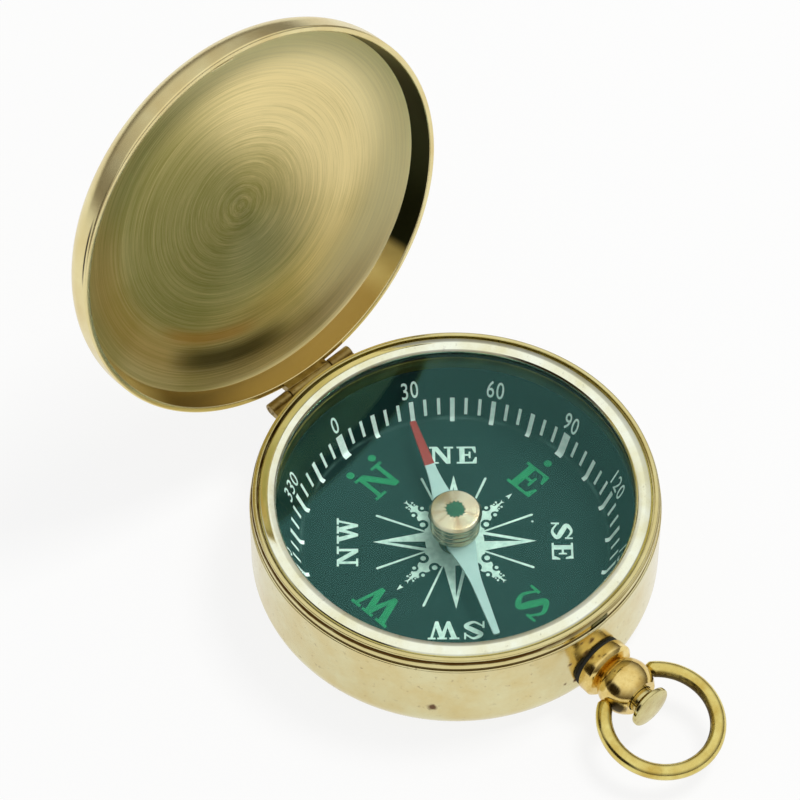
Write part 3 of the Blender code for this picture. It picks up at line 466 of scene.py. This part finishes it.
def lay_on_dial(piece, bearing):
    """Bends a flat print, drawn outward from the fold, onto the dial at a bearing in degrees from north."""
    for vertex in piece.data.vertices:
        radius, height = dial_face(vertex.co.y / MM)
        turn = math.radians(90 - bearing) + dial_turn - vertex.co.x / MM / radius
        vertex.co = (radius * math.cos(turn) * MM, radius * math.sin(turn) * MM, height * MM)


def joined(name, pieces):
    """Joins pieces into one."""
    bpy.ops.object.select_all(action="DESELECT")
    for piece in pieces:
        piece.select_set(True)
    bpy.context.view_layer.objects.active = pieces[0]
    bpy.ops.object.join()
    pieces[0].name = name
    return pieces[0]


tick_end = 2.7
ticks = []
for bearing in range(0, 360, 5):
    width, start = 0.36, 0.6
    if bearing % 15 == 0:
        width, start = 0.52, -0.4
    if bearing % 90 == 0:
        width, start = 0.92, -0.5
    bpy.ops.object.select_all(action="DESELECT")
    bpy.ops.mesh.primitive_plane_add(size=MM)
    tick = bpy.context.object
    bpy.ops.object.mode_set(mode="EDIT")
    bpy.ops.mesh.select_all(action="SELECT")
    bpy.ops.transform.resize(value=(width, tick_end - start, 1.0))
    bpy.ops.transform.translate(value=(0.0, (tick_end + start) / 2 * MM, 0.0))
    bpy.ops.mesh.subdivide(number_cuts=9)
    bpy.ops.object.mode_set(mode="OBJECT")
    lay_on_dial(tick, bearing)
    ticks.append(tick)
fitted(joined("degree_ticks", ticks), "case", scale_ink, "")

number_foot = 3.16
number_width = 0.64
numbers = []
for bearing in range(0, 360, 30):
    bpy.ops.object.select_all(action="DESELECT")
    bpy.ops.object.text_add()
    number = bpy.context.object
    number.data.body = str(bearing)
    number.data.align_x = "CENTER"
    number.data.size = 3.05 * MM
    number.data.space_character = 1.12
    number.data.offset = 0.02 * MM
    number.data.resolution_u = 4
    bpy.ops.object.convert(target="MESH")
    squeezed = Matrix.Diagonal((number_width, 1.0, 1.0, 1.0))
    number.matrix_world = Matrix.Translation((0.0, number_foot * MM, 0.0)) @ squeezed
    bpy.ops.object.transform_apply()
    lay_on_dial(number, bearing)
    numbers.append(number)
fitted(joined("degree_numbers", numbers), "case", scale_ink, "")


def outlined(name, outlines, place, closed=True, **settings):
    """A piece drawn as a curve through points in mm, which may carry a thickness, and put in its place."""
    shape = bpy.data.curves.new(name, "CURVE")
    for setting, value in settings.items():
        setattr(shape, setting, value)
    for outline in outlines:
        line = shape.splines.new("POLY")
        line.points.add(len(outline) - 1)
        line.use_cyclic_u = closed
        for point, (x, y, *thickness) in zip(line.points, outline):
            point.co = (x * MM, y * MM, 0.0, 1.0)
            point.radius = thickness[0] if thickness else 1.0
    piece = bpy.data.objects.new(name, shape)
    bpy.context.scene.collection.objects.link(piece)
    bpy.ops.object.select_all(action="DESELECT")
    piece.select_set(True)
    bpy.context.view_layer.objects.active = piece
    bpy.ops.object.convert(target="MESH")
    piece = bpy.context.object
    piece.matrix_world = place
    bpy.ops.object.transform_apply()
    return piece


def flat_print(outlines, bearing, out=0.0, layer=0):
    """Ink in closed outlines drawn in mm, set on the flat face outward at a bearing, layer over layer."""
    turn = Matrix.Rotation(dial_turn - math.radians(bearing), 4, "Z")
    lift = flat_height + ink_lift + 0.004 * layer
    place = turn @ Matrix.Translation((0.0, out * MM, lift * MM))
    return outlined("print", outlines, place, dimensions="2D", fill_mode="BOTH")


def circle(x, y, radius, points=24):
    """Outline of a round dot."""
    turns = [2 * math.pi * i / points for i in range(points)]
    return [(x + radius * math.cos(turn), y + radius * math.sin(turn)) for turn in turns]


def both_sides(*dots):
    """Outlines of round dots, given as (x, y, radius), on both sides of a point of the rose."""
    return [circle(side * x, y, radius) for side in (-1, 1) for x, y, radius in dots]


solid_half = [(0.0, 2.0), (1.3, 3.1), (0.0, 9.0)]
open_half = [(0.0, 9.0), (-1.3, 3.1), (-0.95, 2.9), (0.0, 7.5)]
line_end = [(0.14 * math.cos(turn), 9.24 + 0.14 * math.sin(turn))
            for turn in (0.0, 0.8, 1.57, 2.34, 3.14)]
lily = [(1.35, 2.6), (1.3, 3.35), (0.9, 3.75), (0.86, 4.4), (0.8, 4.95), (0.62, 5.25), (0.62, 5.95),
        (0.55, 6.4), (0.22, 6.5), (0.14, 6.75), (0.3, 6.98), (0.1, 6.95), (0.08, 7.35), (0.26, 7.7),
        (0.06, 7.55)]
lily += [(-x, y) for x, y in reversed(lily)]
lily_beads = both_sides((0.88, 4.08, 0.31), (0.68, 5.7, 0.21), (0.44, 6.98, 0.13), (0.4, 6.62, 0.1))
rose = [flat_print([circle(0.0, 0.0, 3.25, 48)], 0)]
for bearing in (0, 90, 180, 270):
    rose.append(flat_print([solid_half], bearing + 45, layer=1))
    rose.append(flat_print([open_half], bearing + 45, layer=1))
    for side in (-22.5, 22.5):
        rose.append(flat_print([[(-0.1, 3.3), (0.1, 3.3)] + line_end], bearing + side, layer=1))
    rose.append(flat_print([lily], bearing, layer=2))
    rose.append(flat_print(lily_beads, bearing, layer=4))
    if bearing in (90, 270):
        rose.append(flat_print([[(-0.26, 8.3), (0.0, 8.42), (0.26, 8.3), (0.0, 9.15)]], bearing))
rose.append(flat_print([circle(0.0, 9.0, 0.13)], 118))
fitted(joined("compass_rose", rose), "case", white_ink, "")

bead_grounds = both_sides((0.86, 4.08, 0.63), (0.66, 5.7, 0.46))
rings = [flat_print(bead_grounds, bearing, layer=3) for bearing in (0, 90, 180, 270)]
fitted(joined("rose_ring_grounds", rings), "case", enamel, "dial_enamel")


def stroke(path, widths):
    """Outline of a pen stroke along a smooth path, with a width at each of its points."""
    left, right = [], []
    count = len(path)
    for i in range(8 * (count - 1) + 1):
        k = min(i // 8, count - 2)
        t = i / 8 - k
        a, b, c, d = [Vector(path[min(max(k + j, 0), count - 1)]) for j in (-1, 0, 1, 2)]
        bend = 2 * a - 5 * b + 4 * c - d
        sway = 3 * b - 3 * c + d - a
        here = 0.5 * (2 * b + (c - a) * t + bend * t * t + sway * t ** 3)
        way = (c - a + 2 * bend * t + 3 * sway * t * t).normalized()
        half = (widths[k] + (widths[k + 1] - widths[k]) * t) / 2
        left.append((here.x - way.y * half, here.y + way.x * half))
        right.append((here.x + way.y * half, here.y - way.x * half))
    return left + right[::-1]


# Letters with slab serifs, drawn with a cap height of one: their outlines and their width.
letter_n = [[(0, 1), (0.38, 1), (0.86, 0.3), (0.86, 0.9), (0.7, 0.9), (0.7, 1), (1.14, 1), (1.14, 0.9),
             (1, 0.9), (1, 0), (0.8, 0), (0.28, 0.76), (0.28, 0.1), (0.44, 0.1), (0.44, 0), (0, 0),
             (0, 0.1), (0.14, 0.1), (0.14, 0.9), (0, 0.9)]]
letter_e = [[(0, 1), (0.9, 1), (0.92, 0.64), (0.84, 0.64), (0.72, 0.9), (0.38, 0.9), (0.38, 0.56),
             (0.56, 0.56), (0.58, 0.7), (0.66, 0.7), (0.66, 0.32), (0.58, 0.32), (0.56, 0.46),
             (0.38, 0.46), (0.38, 0.1), (0.74, 0.1), (0.88, 0.38), (0.96, 0.38), (0.94, 0), (0, 0),
             (0, 0.1), (0.13, 0.1), (0.13, 0.9), (0, 0.9)]]
letter_w = [[(0, 1), (0.46, 1), (0.46, 0.9), (0.37, 0.9), (0.54, 0.34), (0.69, 0.9), (0.58, 0.9),
             (0.58, 1), (1.02, 1), (1.02, 0.9), (0.92, 0.9), (1.08, 0.34), (1.22, 0.9), (1.1, 0.9),
             (1.1, 1), (1.46, 1), (1.46, 0.9), (1.34, 0.9), (1.1, 0), (0.96, 0), (0.79, 0.6), (0.56, 0),
             (0.42, 0), (0.12, 0.9), (0, 0.9)]]
letter_s = [stroke([(0.92, 0.74), (0.56, 0.95), (0.22, 0.73), (0.55, 0.51), (0.9, 0.27), (0.54, 0.05),
                    (0.12, 0.28)], [0.07, 0.12, 0.22, 0.26, 0.22, 0.12, 0.07]),
            [(0.92, 1.0), (1.0, 1.0), (1.0, 0.64), (0.9, 0.64)],
            [(0.05, 0.0), (0.13, 0.0), (0.16, 0.38), (0.05, 0.38)]]
letters = {"N": (letter_n, 1.14), "E": (letter_e, 0.96), "S": (letter_s, 1.06), "W": (letter_w, 1.46)}
letter_gap = 0.16
letters_out = 11.8
quarters = []
corners = []
for turn, name in enumerate(("N", "NE", "E", "SE", "S", "SW", "W", "NW")):
    size = 3.6 if len(name) == 1 else 2.35
    width = sum(letters[letter][1] for letter in name) + letter_gap * (len(name) - 1)
    start = -width / 2
    for letter in name:
        outlines, wide = letters[letter]
        for outline in outlines:
            drawn = [((start + x) * size, (y - 0.5) * size) for x, y in outline]
            (quarters if len(name) == 1 else corners).append(flat_print([drawn], 45 * turn, letters_out))
        start += wide + letter_gap
for x, out, bearing in ((-1.7, 14.5, 0), (1.7, 14.5, 0), (0.0, 14.9, 90)):
    quarters.append(flat_print([circle(x, out, 0.46)], bearing))
fitted(joined("quarter_letters", quarters), "case", green_ink, "")
fitted(joined("corner_letters", corners), "case", white_ink, "")


# Post and pin. A brass post riveted through the dial into a thick disc below it, and the steel pin on it
# that carries the needle. The cap hides all but their feet, so the plain shapes stay, as do those of the
# spring, the nut and the catch behind the button.
steel, tree, shader = new_finish("bare spring steel")
spot = add_node(tree, "TexCoord")
cloud = add_node(tree, "TexNoise", {"Vector": spot.outputs["Object"], "Scale": 1 / (0.5 * MM),
                                    "Detail": 3.0})
colour = add_node(tree, "Mix", {0: cloud, 6: srgb("#b9babb"), 7: srgb("#8d8c88")})
rough = add_node(tree, "MapRange", {"Value": cloud, "To Min": 0.2, "To Max": 0.42})
set_inputs(tree, shader, {"Base Color": colour, "Metallic": 1.0, "Roughness": rough})
for finish, nodes in ((steel, ("pivot_pin", "return_spring", "stem_nut")),
                      (inner_brass, ("pivot_post", "dial_base", "lid_catch"))):
    for node in nodes:
        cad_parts[node].data.materials.clear()
        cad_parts[node].data.materials.append(finish)


# Needle. A blade stamped from thin steel, painted white and its longer north end red, with a turned brass
# cap riveted on; the cap holds a green glass bearing, staked in with a ring of punch marks.
needle_bearing = math.radians(25.5)
needle_place = Matrix.Translation((0.0, 0.0, 6.15 * MM)) @ Matrix.Rotation(-needle_bearing, 4, "Z")
paint, tree, shader = new_finish("needle paint")
spot = add_node(tree, "TexCoord")
turned_back = add_node(tree, "Mapping", {"Vector": spot.outputs["Object"],
                                         "Rotation": (0.0, 0.0, needle_bearing)})
place = add_node(tree, "SeparateXYZ", {0: turned_back})
cloud = add_node(tree, "TexNoise", {"Vector": spot.outputs["Object"], "Scale": 1 / (1.5 * MM),
                                    "Detail": 4.0})
edge = add_node(tree, "Math", {0: cloud, 1: 0.3 * MM, 2: place.outputs[1]}, operation="MULTIPLY_ADD")
red_end = add_node(tree, "MapRange", {"Value": edge, "From Min": 9.22 * MM, "From Max": 9.28 * MM})
pale = add_node(tree, "Mix", {0: cloud, 6: srgb("#a5bdb8"), 7: srgb("#8aa7a3")})
red = add_node(tree, "Mix", {0: cloud, 6: srgb("#942723"), 7: srgb("#80211e")})
colour = add_node(tree, "Mix", {0: red_end, 6: pale, 7: red})
set_inputs(tree, shader, {"Base Color": colour, "Roughness": 0.4, "Specular IOR Level": 0.3})

hub_end = 2.6
waist = 9.1


def blade_half(out):
    """Half the blade's width in mm at a distance from the pivot: hollow to the waist, then straight."""
    if out <= hub_end:
        return 1.6
    if out <= waist:
        return 0.58 + 1.02 * ((waist - out) / (waist - hub_end)) ** 1.8
    return 0.58 - 0.22 * (out - waist) / 6.3


stations = [0.0, hub_end] + [hub_end + (waist - hub_end) * i / 16 for i in range(1, 17)] + [15.25]
side = [(blade_half(y), y) for y in stations] + [(0.27, 15.38), (0.16, 15.4)]
tail_share = 0.95
side = [(x, -tail_share * y) for x, y in reversed(side[1:])] + side
outlines = [side + [(-x, y) for x, y in reversed(side)], circle(0.0, 0.0, 1.35, 40)]
blade_edge = 0.04 * MM
blade = outlined("needle_blade_painted", outlines, needle_place, dimensions="2D", fill_mode="BOTH",
                 extrude=0.085 * MM, bevel_depth=blade_edge, bevel_resolution=2, offset=-blade_edge)
fitted(blade, "needle", paint, "needle_paint", "needle_blade")

cap_brass, tree, shader = new_finish("turned pinkish brass")
spot = add_node(tree, "TexCoord")
# Painted highlight: the colour runs pale and pinkish in wedges round the cap, standing for the light on its
# turned top.
painted_fan_place = add_node(tree, "VectorMath", {0: spot.outputs["UV"], 1: (7.0, 0.02, 1.0)}, operation="MULTIPLY")
rays = add_node(tree, "TexNoise", {"Vector": painted_fan_place, "Scale": 1.0, "Detail": 2.0})
share = add_node(tree, "MapRange", {"Value": rays, "From Min": 0.35, "From Max": 0.65})
colour = add_node(tree, "Mix", {0: share, 6: srgb("#dfd8be"), 7: srgb("#c8b08a")})
flat = add_node(tree, "VectorMath", {0: spot.outputs["Object"], 1: (1.0, 1.0, 0.0)}, operation="MULTIPLY")
reach = add_node(tree, "VectorMath", {0: flat}, operation="LENGTH")
# Painted shade: the grooves in the cap's side are painted nearly black.
deep = add_node(tree, "MapRange", {"Value": reach, "From Min": 2.64 * MM, "From Max": 2.56 * MM})
place = add_node(tree, "SeparateXYZ", {0: spot.outputs["Object"]})
low = add_node(tree, "Math", {0: place.outputs[2], 1: 8.95 * MM}, operation="LESS_THAN")
darkening = add_node(tree, "Math", {0: deep, 1: low}, operation="MULTIPLY")
colour = add_node(tree, "Mix", {0: darkening, 6: colour, 7: srgb("#1d160b")})
drawn = add_node(tree, "VectorMath", {0: spot.outputs["UV"], 1: (8.0, 25.0, 1.0)}, operation="MULTIPLY")
marks = add_node(tree, "TexNoise", {"Vector": drawn, "Scale": 1.0, "Detail": 2.0})
relief = add_node(tree, "Bump", {"Height": marks, "Strength": 0.15, "Distance": 0.01 * MM})
rim_way = add_node(tree, "Tangent", direction_type="UV_MAP", uv_map="turning")
set_inputs(tree, shader, {"Base Color": colour, "Metallic": 1.0, "Roughness": 0.25, "Anisotropic": 0.7,
                          "Tangent": rim_way, "Normal": relief})
cap = turned("needle_cap", rounded([
    (1.2, 9.74), (1.35, 9.74, 0.05), (2.64, 9.62, 0.08), (2.92, 9.3, 0.05), (2.92, 8.93, 0.04),
    (2.3, 8.93, 0.03), (2.3, 8.65, 0.03), (2.8, 8.65, 0.06), (2.8, 8.15, 0.06), (2.3, 8.15, 0.03),
    (2.3, 7.88, 0.03), (2.74, 7.88, 0.06), (2.74, 7.35, 0.06), (2.3, 7.35, 0.03), (2.3, 7.1, 0.03),
    (2.7, 7.1, 0.06), (2.7, 6.325, 0.1), (1.3, 6.325), (1.3, 5.975), (1.6, 5.975, 0.05),
    (1.6, 5.675, 0.05), (0.8, 5.675), (0.8, 7.72), (1.2, 7.72)]), steps=96)
fitted(cap, "needle", cap_brass, "hub_brass", "needle_hub")

staking = turned("cap_staking", [(1.4, 9.75), (1.06, 9.79), (1.03, 9.7), (1.4, 9.7)], steps=96)
for vertex in staking.data.vertices:
    turn = math.atan2(vertex.co.y, vertex.co.x)
    if vertex.co.xy.length < 1.2 * MM:
        vertex.co.xy *= 1.0 + 0.09 * math.copysign(1.0, math.sin(15 * turn)) + 0.04 * math.sin(4 * turn)
fitted(staking, "needle", cap_brass, "hub_brass")

jewel, tree, shader = new_finish("dark green glass jewel")
spot = add_node(tree, "TexCoord")
cloud = add_node(tree, "TexNoise", {"Vector": spot.outputs["Object"], "Scale": 1 / (0.5 * MM)})
colour = add_node(tree, "Mix", {0: cloud, 6: srgb("#1c4630"), 7: srgb("#2f5c43")})
set_inputs(tree, shader, {"Base Color": colour, "Roughness": 0.15, "IOR": 1.5, "Specular IOR Level": 0.2})
stone = turned("jewel_stone", rounded([(0.0, 9.72), (1.19, 9.72, 0.02), (1.19, 7.775, 0.05), (0.55, 7.775),
                                       (0.0, 8.475)]), ring=False, steps=64)
fitted(stone, "needle", jewel, "jewel_glass", "jewel_bearing")


# Lid. A shallow pan spun from brass sheet, its inside turned on a lathe so that rings run round it. Pale
# wedges of light on the rings, glints, dark reflections and a dark and a bright sector on its inner wall are
# painted into its colour; its wall tapers inside to close over the rim ring. It stands open on a hinge.
hinge = Vector((0.0, 23.5, 10.9)) * MM
skew = Matrix.Rotation(math.radians(-0.75), 4, "Z")
leaning = Matrix.Translation(hinge) @ skew @ Matrix.Rotation(math.radians(-2.8), 4, "Y")
opened = leaning @ Matrix.Rotation(math.radians(-102.5), 4, "X") @ leaning.inverted()
skin = rounded([(0.0, 16.45), (23.3, 16.45, 3.0), (23.3, 11.85, 0.2), (22.6, 11.85, 0.15), (22.56, 12.4),
                (22.05, 14.35)])
skin_run = sum((there - here).length for here, there in zip(skin, skin[1:]))
dish_floor = 16.05
dish = [Vector((22.0 - 8.0 * i / 16, dish_floor - 1.65 * (1 - i / 16) ** 2.4)) for i in range(17)]
lid_brass, tree, shader = new_finish("lathe-turned brass lid")
spot = add_node(tree, "TexCoord")
chart = add_node(tree, "SeparateXYZ", {0: spot.outputs["UV"]})
inside = add_node(tree, "Math", {0: chart.outputs[1], 1: skin_run + 0.05}, operation="GREATER_THAN")
from_middle = add_node(tree, "Math", {0: skin_run + 22.5, 1: chart.outputs[1]}, operation="SUBTRACT")
turning = add_node(tree, "Math", {0: chart.outputs[0], 1: 2 * math.pi}, operation="MULTIPLY")
across_lid = add_node(tree, "Math", {0: turning}, operation="COSINE")
up_lid = add_node(tree, "Math", {0: turning}, operation="SINE")
lathe = add_node(tree, "CombineXYZ", {0: across_lid, 1: up_lid, 2: from_middle})
lathe = add_node(tree, "VectorMath", {0: lathe, 1: (0.9, 0.9, 4.6)}, operation="MULTIPLY")
rings = add_node(tree, "TexNoise", {"Vector": lathe, "Scale": 1.0, "Detail": 5.0, "Roughness": 0.8})
lines = add_node(tree, "MapRange", {"Value": rings, "From Min": 0.3, "From Max": 0.7, "To Min": -0.27,
                                    "To Max": 0.33})


def near_turn(middle, inner, outer):
    """One near a bearing on the lid, in degrees, falling to nothing between two angles from it."""
    swing = add_node(tree, "Math", {0: turning, 1: math.radians(middle)}, operation="SUBTRACT")
    side = add_node(tree, "Math", {0: swing}, operation="COSINE")
    return add_node(tree, "MapRange", {"Value": side, "From Min": math.cos(math.radians(outer)),
                                       "From Max": math.cos(math.radians(inner))},
                    interpolation_type="SMOOTHSTEP")


# Painted highlights: pale wedges laid over the rings at set bearings, where light would fall on a turned
# face.
glow = lines
painted_fans = [(-26, 34, 98, 2.0, 12.0, 0.85), (80, 8, 52, 2.5, 6.0, 0.4), (57, 4, 22, 12.0, 16.0, 0.4),
        (143, 4, 18, 15.0, 18.0, 0.3), (190, 2, 15, 12.0, 16.0, 0.16)]
for turn, inner, outer, start, full, weight in painted_fans:
    spread = add_node(tree, "MapRange", {"Value": from_middle, "From Min": start, "From Max": full,
                                         "To Max": weight}, interpolation_type="SMOOTHSTEP")
    glow = add_node(tree, "Math", {0: near_turn(turn, inner, outer), 1: spread, 2: glow},
                    operation="MULTIPLY_ADD")
wave = add_node(tree, "Math", {0: from_middle, 1: 2 * math.pi / 1.1}, operation="MULTIPLY")
wave = add_node(tree, "Math", {0: wave}, operation="SINE")
middle = add_node(tree, "MapRange", {"Value": from_middle, "From Min": 5.0, "From Max": 1.0,
                                     "To Max": 0.14})
share = add_node(tree, "Math", {0: wave, 1: middle, 2: glow}, operation="MULTIPLY_ADD")
share = add_node(tree, "Math", {0: share, 1: 0.12}, operation="ADD", use_clamp=True)
face = add_node(tree, "Mix", {0: share, 6: srgb("#b5aa61"), 7: srgb("#f8e4a4")})
# Painted highlight: a pale band near the outer edge of the face on one side.
painted_brim_highlight = add_node(tree, "MapRange", {"Value": from_middle, "From Min": 15.0, "From Max": 20.0,
                                   "To Max": near_turn(-20, 45, 100)}, interpolation_type="SMOOTHSTEP")
face = add_node(tree, "Mix", {0: painted_brim_highlight, 6: face, 7: srgb("#fff0b4")})
shine = add_node(tree, "MapRange", {"Value": rings, "From Min": 0.3, "From Max": 0.7, "To Min": 0.84,
                                    "To Max": 1.0})
face = add_node(tree, "Mix", {0: 1.0, 6: face, 7: shine}, blend_type="MULTIPLY")
cloud = add_node(tree, "TexNoise", {"Vector": spot.outputs["Object"], "Scale": 1 / (4.0 * MM),
                                    "Detail": 4.0})
wear = add_node(tree, "MapRange", {"Value": cloud, "From Min": 0.36, "From Max": 0.68})
outer = add_node(tree, "Mix", {0: wear, 6: srgb("#e9dca6"), 7: srgb("#dfcc92")})
# Painted reflections: a dark sector and a bright gold sector on the inner wall.
wall = add_node(tree, "Math", {0: chart.outputs[1], 1: skin_run - 2.5}, operation="GREATER_THAN")
for turn, inner, limit, shade in ((-8, 50, 54, "#2c3226"), (98, 36, 46, "#bfa66a")):
    part = add_node(tree, "Math", {0: near_turn(turn, inner, limit), 1: wall}, operation="MULTIPLY")
    outer = add_node(tree, "Mix", {0: part, 6: outer, 7: srgb(shade)})
colour = add_node(tree, "Mix", {0: inside, 6: outer, 7: face})
# Painted reflections: orange glints and dark reflections laid in bands at set bearings and distances from
# the middle.
painted_glints_and_reflections = [(165, 55, 18.5, 2.6, 0.4, "#dcaa50"), (121, 28, 16.4, 0.9, 0.55, "#cf9038"),
          (110, 30, 19.0, 1.5, 0.85, "#4c4622"), (206, 11, 26.1, 0.14, 1.0, "#1d1408")]
for turn, reach, out, width, most, mark_colour in painted_glints_and_reflections:
    off = add_node(tree, "Math", {0: from_middle, 1: out}, operation="SUBTRACT")
    off = add_node(tree, "Math", {0: off}, operation="ABSOLUTE")
    ragged = add_node(tree, "Math", {0: rings, 1: 0.9 * width, 2: off}, operation="MULTIPLY_ADD")
    patch_mask = add_node(tree, "MapRange", {"Value": ragged, "From Min": 1.9 * width, "From Max": 0.6 * width,
                                       "To Max": near_turn(turn, reach / 4, reach)},
                    interpolation_type="SMOOTHSTEP")
    patch_mask = add_node(tree, "Math", {0: patch_mask, 1: most}, operation="MULTIPLY")
    colour = add_node(tree, "Mix", {0: patch_mask, 6: colour, 7: srgb(mark_colour)})
rough = add_node(tree, "MapRange", {"Value": inside, "To Min": 0.26, "To Max": 0.34})
grain = add_node(tree, "Math", {0: inside, 1: 0.75}, operation="MULTIPLY")
depth = add_node(tree, "MapRange", {"Value": inside, "To Min": 0.05, "To Max": 0.35})
relief = add_node(tree, "Bump", {"Height": rings, "Strength": depth, "Distance": 0.02 * MM})
rim_way = add_node(tree, "Tangent", direction_type="UV_MAP", uv_map="turning")
set_inputs(tree, shader, {"Base Color": colour, "Metallic": 1.0, "Roughness": rough, "Anisotropic": grain,
                          "Tangent": rim_way, "Normal": relief})
lid = turned("lid_pan", skin + dish + [Vector((0.0, dish_floor))], ring=False, place=opened)
fitted(lid, "lid", lid_brass, "lid_brass", "lid_shell")


# Hinge. Three brass tubes on one pin: two soldered behind the case on small saddles, and one between them
# on a leaf soldered to the lid's wall. Solder and handling have left them dull and brown.
hinge_brass = brass("dull brown hinge brass", "#a8935a", "#7c6433", "#33240f", gloss=0.38, blotch=1.2,
                    flecks=0.6)
hinge_line = leaning @ Matrix.Rotation(math.pi / 2, 4, "Y")


def block(name, low, high, round_by, place):
    """A block between two corners in mm, its edges rounded."""
    bpy.ops.object.select_all(action="DESELECT")
    bpy.ops.mesh.primitive_cube_add(size=1.0)
    piece = bpy.context.object
    piece.name = name
    low, high = Vector(low) * MM, Vector(high) * MM
    piece.matrix_world = Matrix.Translation((low + high) / 2) @ Matrix.Diagonal((*(high - low), 1.0))
    bpy.ops.object.transform_apply()
    bpy.ops.object.mode_set(mode="EDIT")
    bpy.ops.mesh.select_all(action="SELECT")
    bpy.ops.mesh.bevel(offset=round_by * MM, segments=3, affect="EDGES")
    bpy.ops.object.mode_set(mode="OBJECT")
    piece.matrix_world = place
    bpy.ops.object.transform_apply()
    return piece


def tube(name, start, end, place):
    """A short brass tube along its axis, its ends rounded."""
    return turned(name, rounded([(0.36, end), (0.75, end, 0.12), (0.75, start, 0.12), (0.36, start)]),
                  steps=64, place=place)


for side, start in (("left", -5.9), ("right", 3.0)):
    barrel = tube("barrel", start, start + 2.9, hinge_line)
    saddle = block("saddle", (start, -1.6, -0.72), (start + 2.9, 0.0, 0.36), 0.08, leaning)
    knuckle = joined("case_barrel_" + side, [barrel, saddle])
    fitted(knuckle, "case", hinge_brass, "hinge_brass", "case_knuckle_" + side)
rod = rounded([(0.0, 5.88), (0.3, 5.88, 0.06), (0.3, -5.88, 0.06), (0.0, -5.88)])
pin = turned("hinge_pin_rod", rod, ring=False, steps=32, place=hinge_line)
fitted(pin, "case", hinge_brass, "hinge_brass", "hinge_pin")
barrel = tube("barrel", -2.9, 2.9, hinge_line)
leaf = block("leaf", (-2.8, 22.65, 10.9), (2.8, 23.75, 13.1), 0.08, opened)
heel = block("heel", (-2.8, -1.0, -0.3), (2.8, 0.0, 0.3), 0.08, leaning)
fitted(joined("lid_barrel", [barrel, leaf, heel]), "lid", hinge_brass, "hinge_brass", "lid_knuckle")
strike = block("strike_bar", (-1.5, -22.55, 11.9), (1.5, -22.35, 12.25), 0.04, opened)
fitted(strike, "lid", case_brass, "hinge_brass", "lid_strike")


# Pendant. Turned from bar and riveted through the case wall over a black washer: collar, neck and ball. The
# ball is bored for the button's spring, and drilled at its sides for the ring.
# The two dark patches round the ring holes are painted shade and painted dark reflection where the ring's
# ends go into the ball.
pendant_brass = brass("warm brass pendant", "#ecd48a", "#cfae5e", "#2e2412", gloss=0.14, blotch=1.6,
                      flecks=0.2, stain_and_shade_spots=[((-2.7, -28.0, 5.0), 0.7, 1.1), ((2.7, -28.0, 5.0), 0.7, 1.0)])
ball_radius = 3.1
ball_turns = [math.radians(45.2 - 91.0 * i / 24) for i in range(25)]
ball = [Vector((math.cos(turn), math.sin(turn))) * ball_radius + Vector((0.0, 26.6))
        for turn in ball_turns]
pendant = turned("pendant_turned", [Vector((1.6, 28.75))] + ball + rounded([
    (2.05, 24.3, 0.05), (2.95, 24.3, 0.1), (3.3, 23.95, 0.12), (3.3, 22.72, 0.1), (1.8, 22.72),
    (1.8, 21.55), (0.7, 21.55), (0.7, 24.4), (1.6, 24.4)]), steps=96, place=pendant_axis)
ring_holes = Matrix.Translation((0.0, -27.0 * MM, pendant_height * MM))
for side in (-1, 1):
    hole = [(0.0, side * 2.0), (0.55, side * 2.0), (0.55, side * 4.0), (0.0, side * 4.0)]
    sideways = ring_holes @ Matrix.Rotation(math.pi / 2, 4, "Y")
    cut(pendant, turned("drill", hole, ring=False, steps=32, place=sideways))
fitted(pendant, "case", pendant_brass, "pendant_brass", "pendant")

washer = turned("washer_ring", rounded([(1.85, 22.7, 0.05), (3.15, 22.7, 0.12), (3.15, 21.9),
                                        (1.85, 21.9)]), steps=96, place=pendant_axis)
cut(washer, turned("wall", [(0.0, 13.0), (22.42, 13.0), (22.42, -3.0), (0.0, -3.0)], ring=False))
fitted(washer, "case", rubber, "washer_black", "pendant_washer")


# Button. Turned brass with a slightly domed face, on a stem that runs through the pendant to the lid's
# catch; a spring in the ball holds it out, and a pocket behind its face takes the spring's last coil.
button_brass = brass("polished brass button", "#d2c88e", "#c0ae72", "#6b4a2c", gloss=0.14, blotch=2.0)
button = turned("button_turned", rounded([
    (0.0, 30.62), (1.4, 30.58), (2.45, 30.48, 0.12), (2.45, 30.0, 0.12), (2.0, 30.0, 0.1), (1.5, 29.5, 0.1),
    (1.5, 28.2), (1.38, 28.2), (1.38, 28.97), (0.85, 28.97), (0.85, 28.2), (0.6, 28.2), (0.6, 21.45),
    (0.45, 21.45), (0.45, 20.05, 0.1), (0.0, 20.05)]), ring=False, steps=96, place=pendant_axis)
fitted(button, "button", button_brass, "button_brass", "push_button")


# Ring to hang it by. Round brass wire bent to a circle, its ends filed down to pins and sprung into the
# holes in the ball, stiff enough to stay where it was left.
# The dark band along the ring's inner edge is painted shade and painted dark reflection.
bow_brass = brass("brass wire ring", "#e3d482", "#c8ad56", "#3d2c10", gloss=0.18, blotch=2.5, flecks=0.15,
                  stain_and_shade_spots=[((0.0, -32.0, 4.2), 5.35, 5.65)])
ring_radius = 6.17
ring_drop = 5.05
wire_radius = 0.88
opening = math.acos(ring_drop / ring_radius)
pin_end = [(x, 0.0, radius / wire_radius)
           for x, radius in ((2.1, 0.45), (2.95, 0.45), (3.12, 0.62), (3.28, 0.8))]
route = list(pin_end)
for i in range(121):
    turn = opening + 2 * (math.pi - opening) * i / 120
    route.append((ring_radius * math.sin(turn), ring_radius * math.cos(turn) - ring_drop))
route += [(-x, y, thickness) for x, y, thickness in reversed(pin_end)]
hanging = ring_holes @ Matrix.Rotation(math.radians(8.0), 4, "X")
ring = outlined("bow_wire", [route], hanging, closed=False, dimensions="3D", use_fill_caps=True,
                bevel_depth=wire_radius * MM, bevel_resolution=10)
fitted(ring, "bow", bow_brass, "bow_brass", "bow_ring")
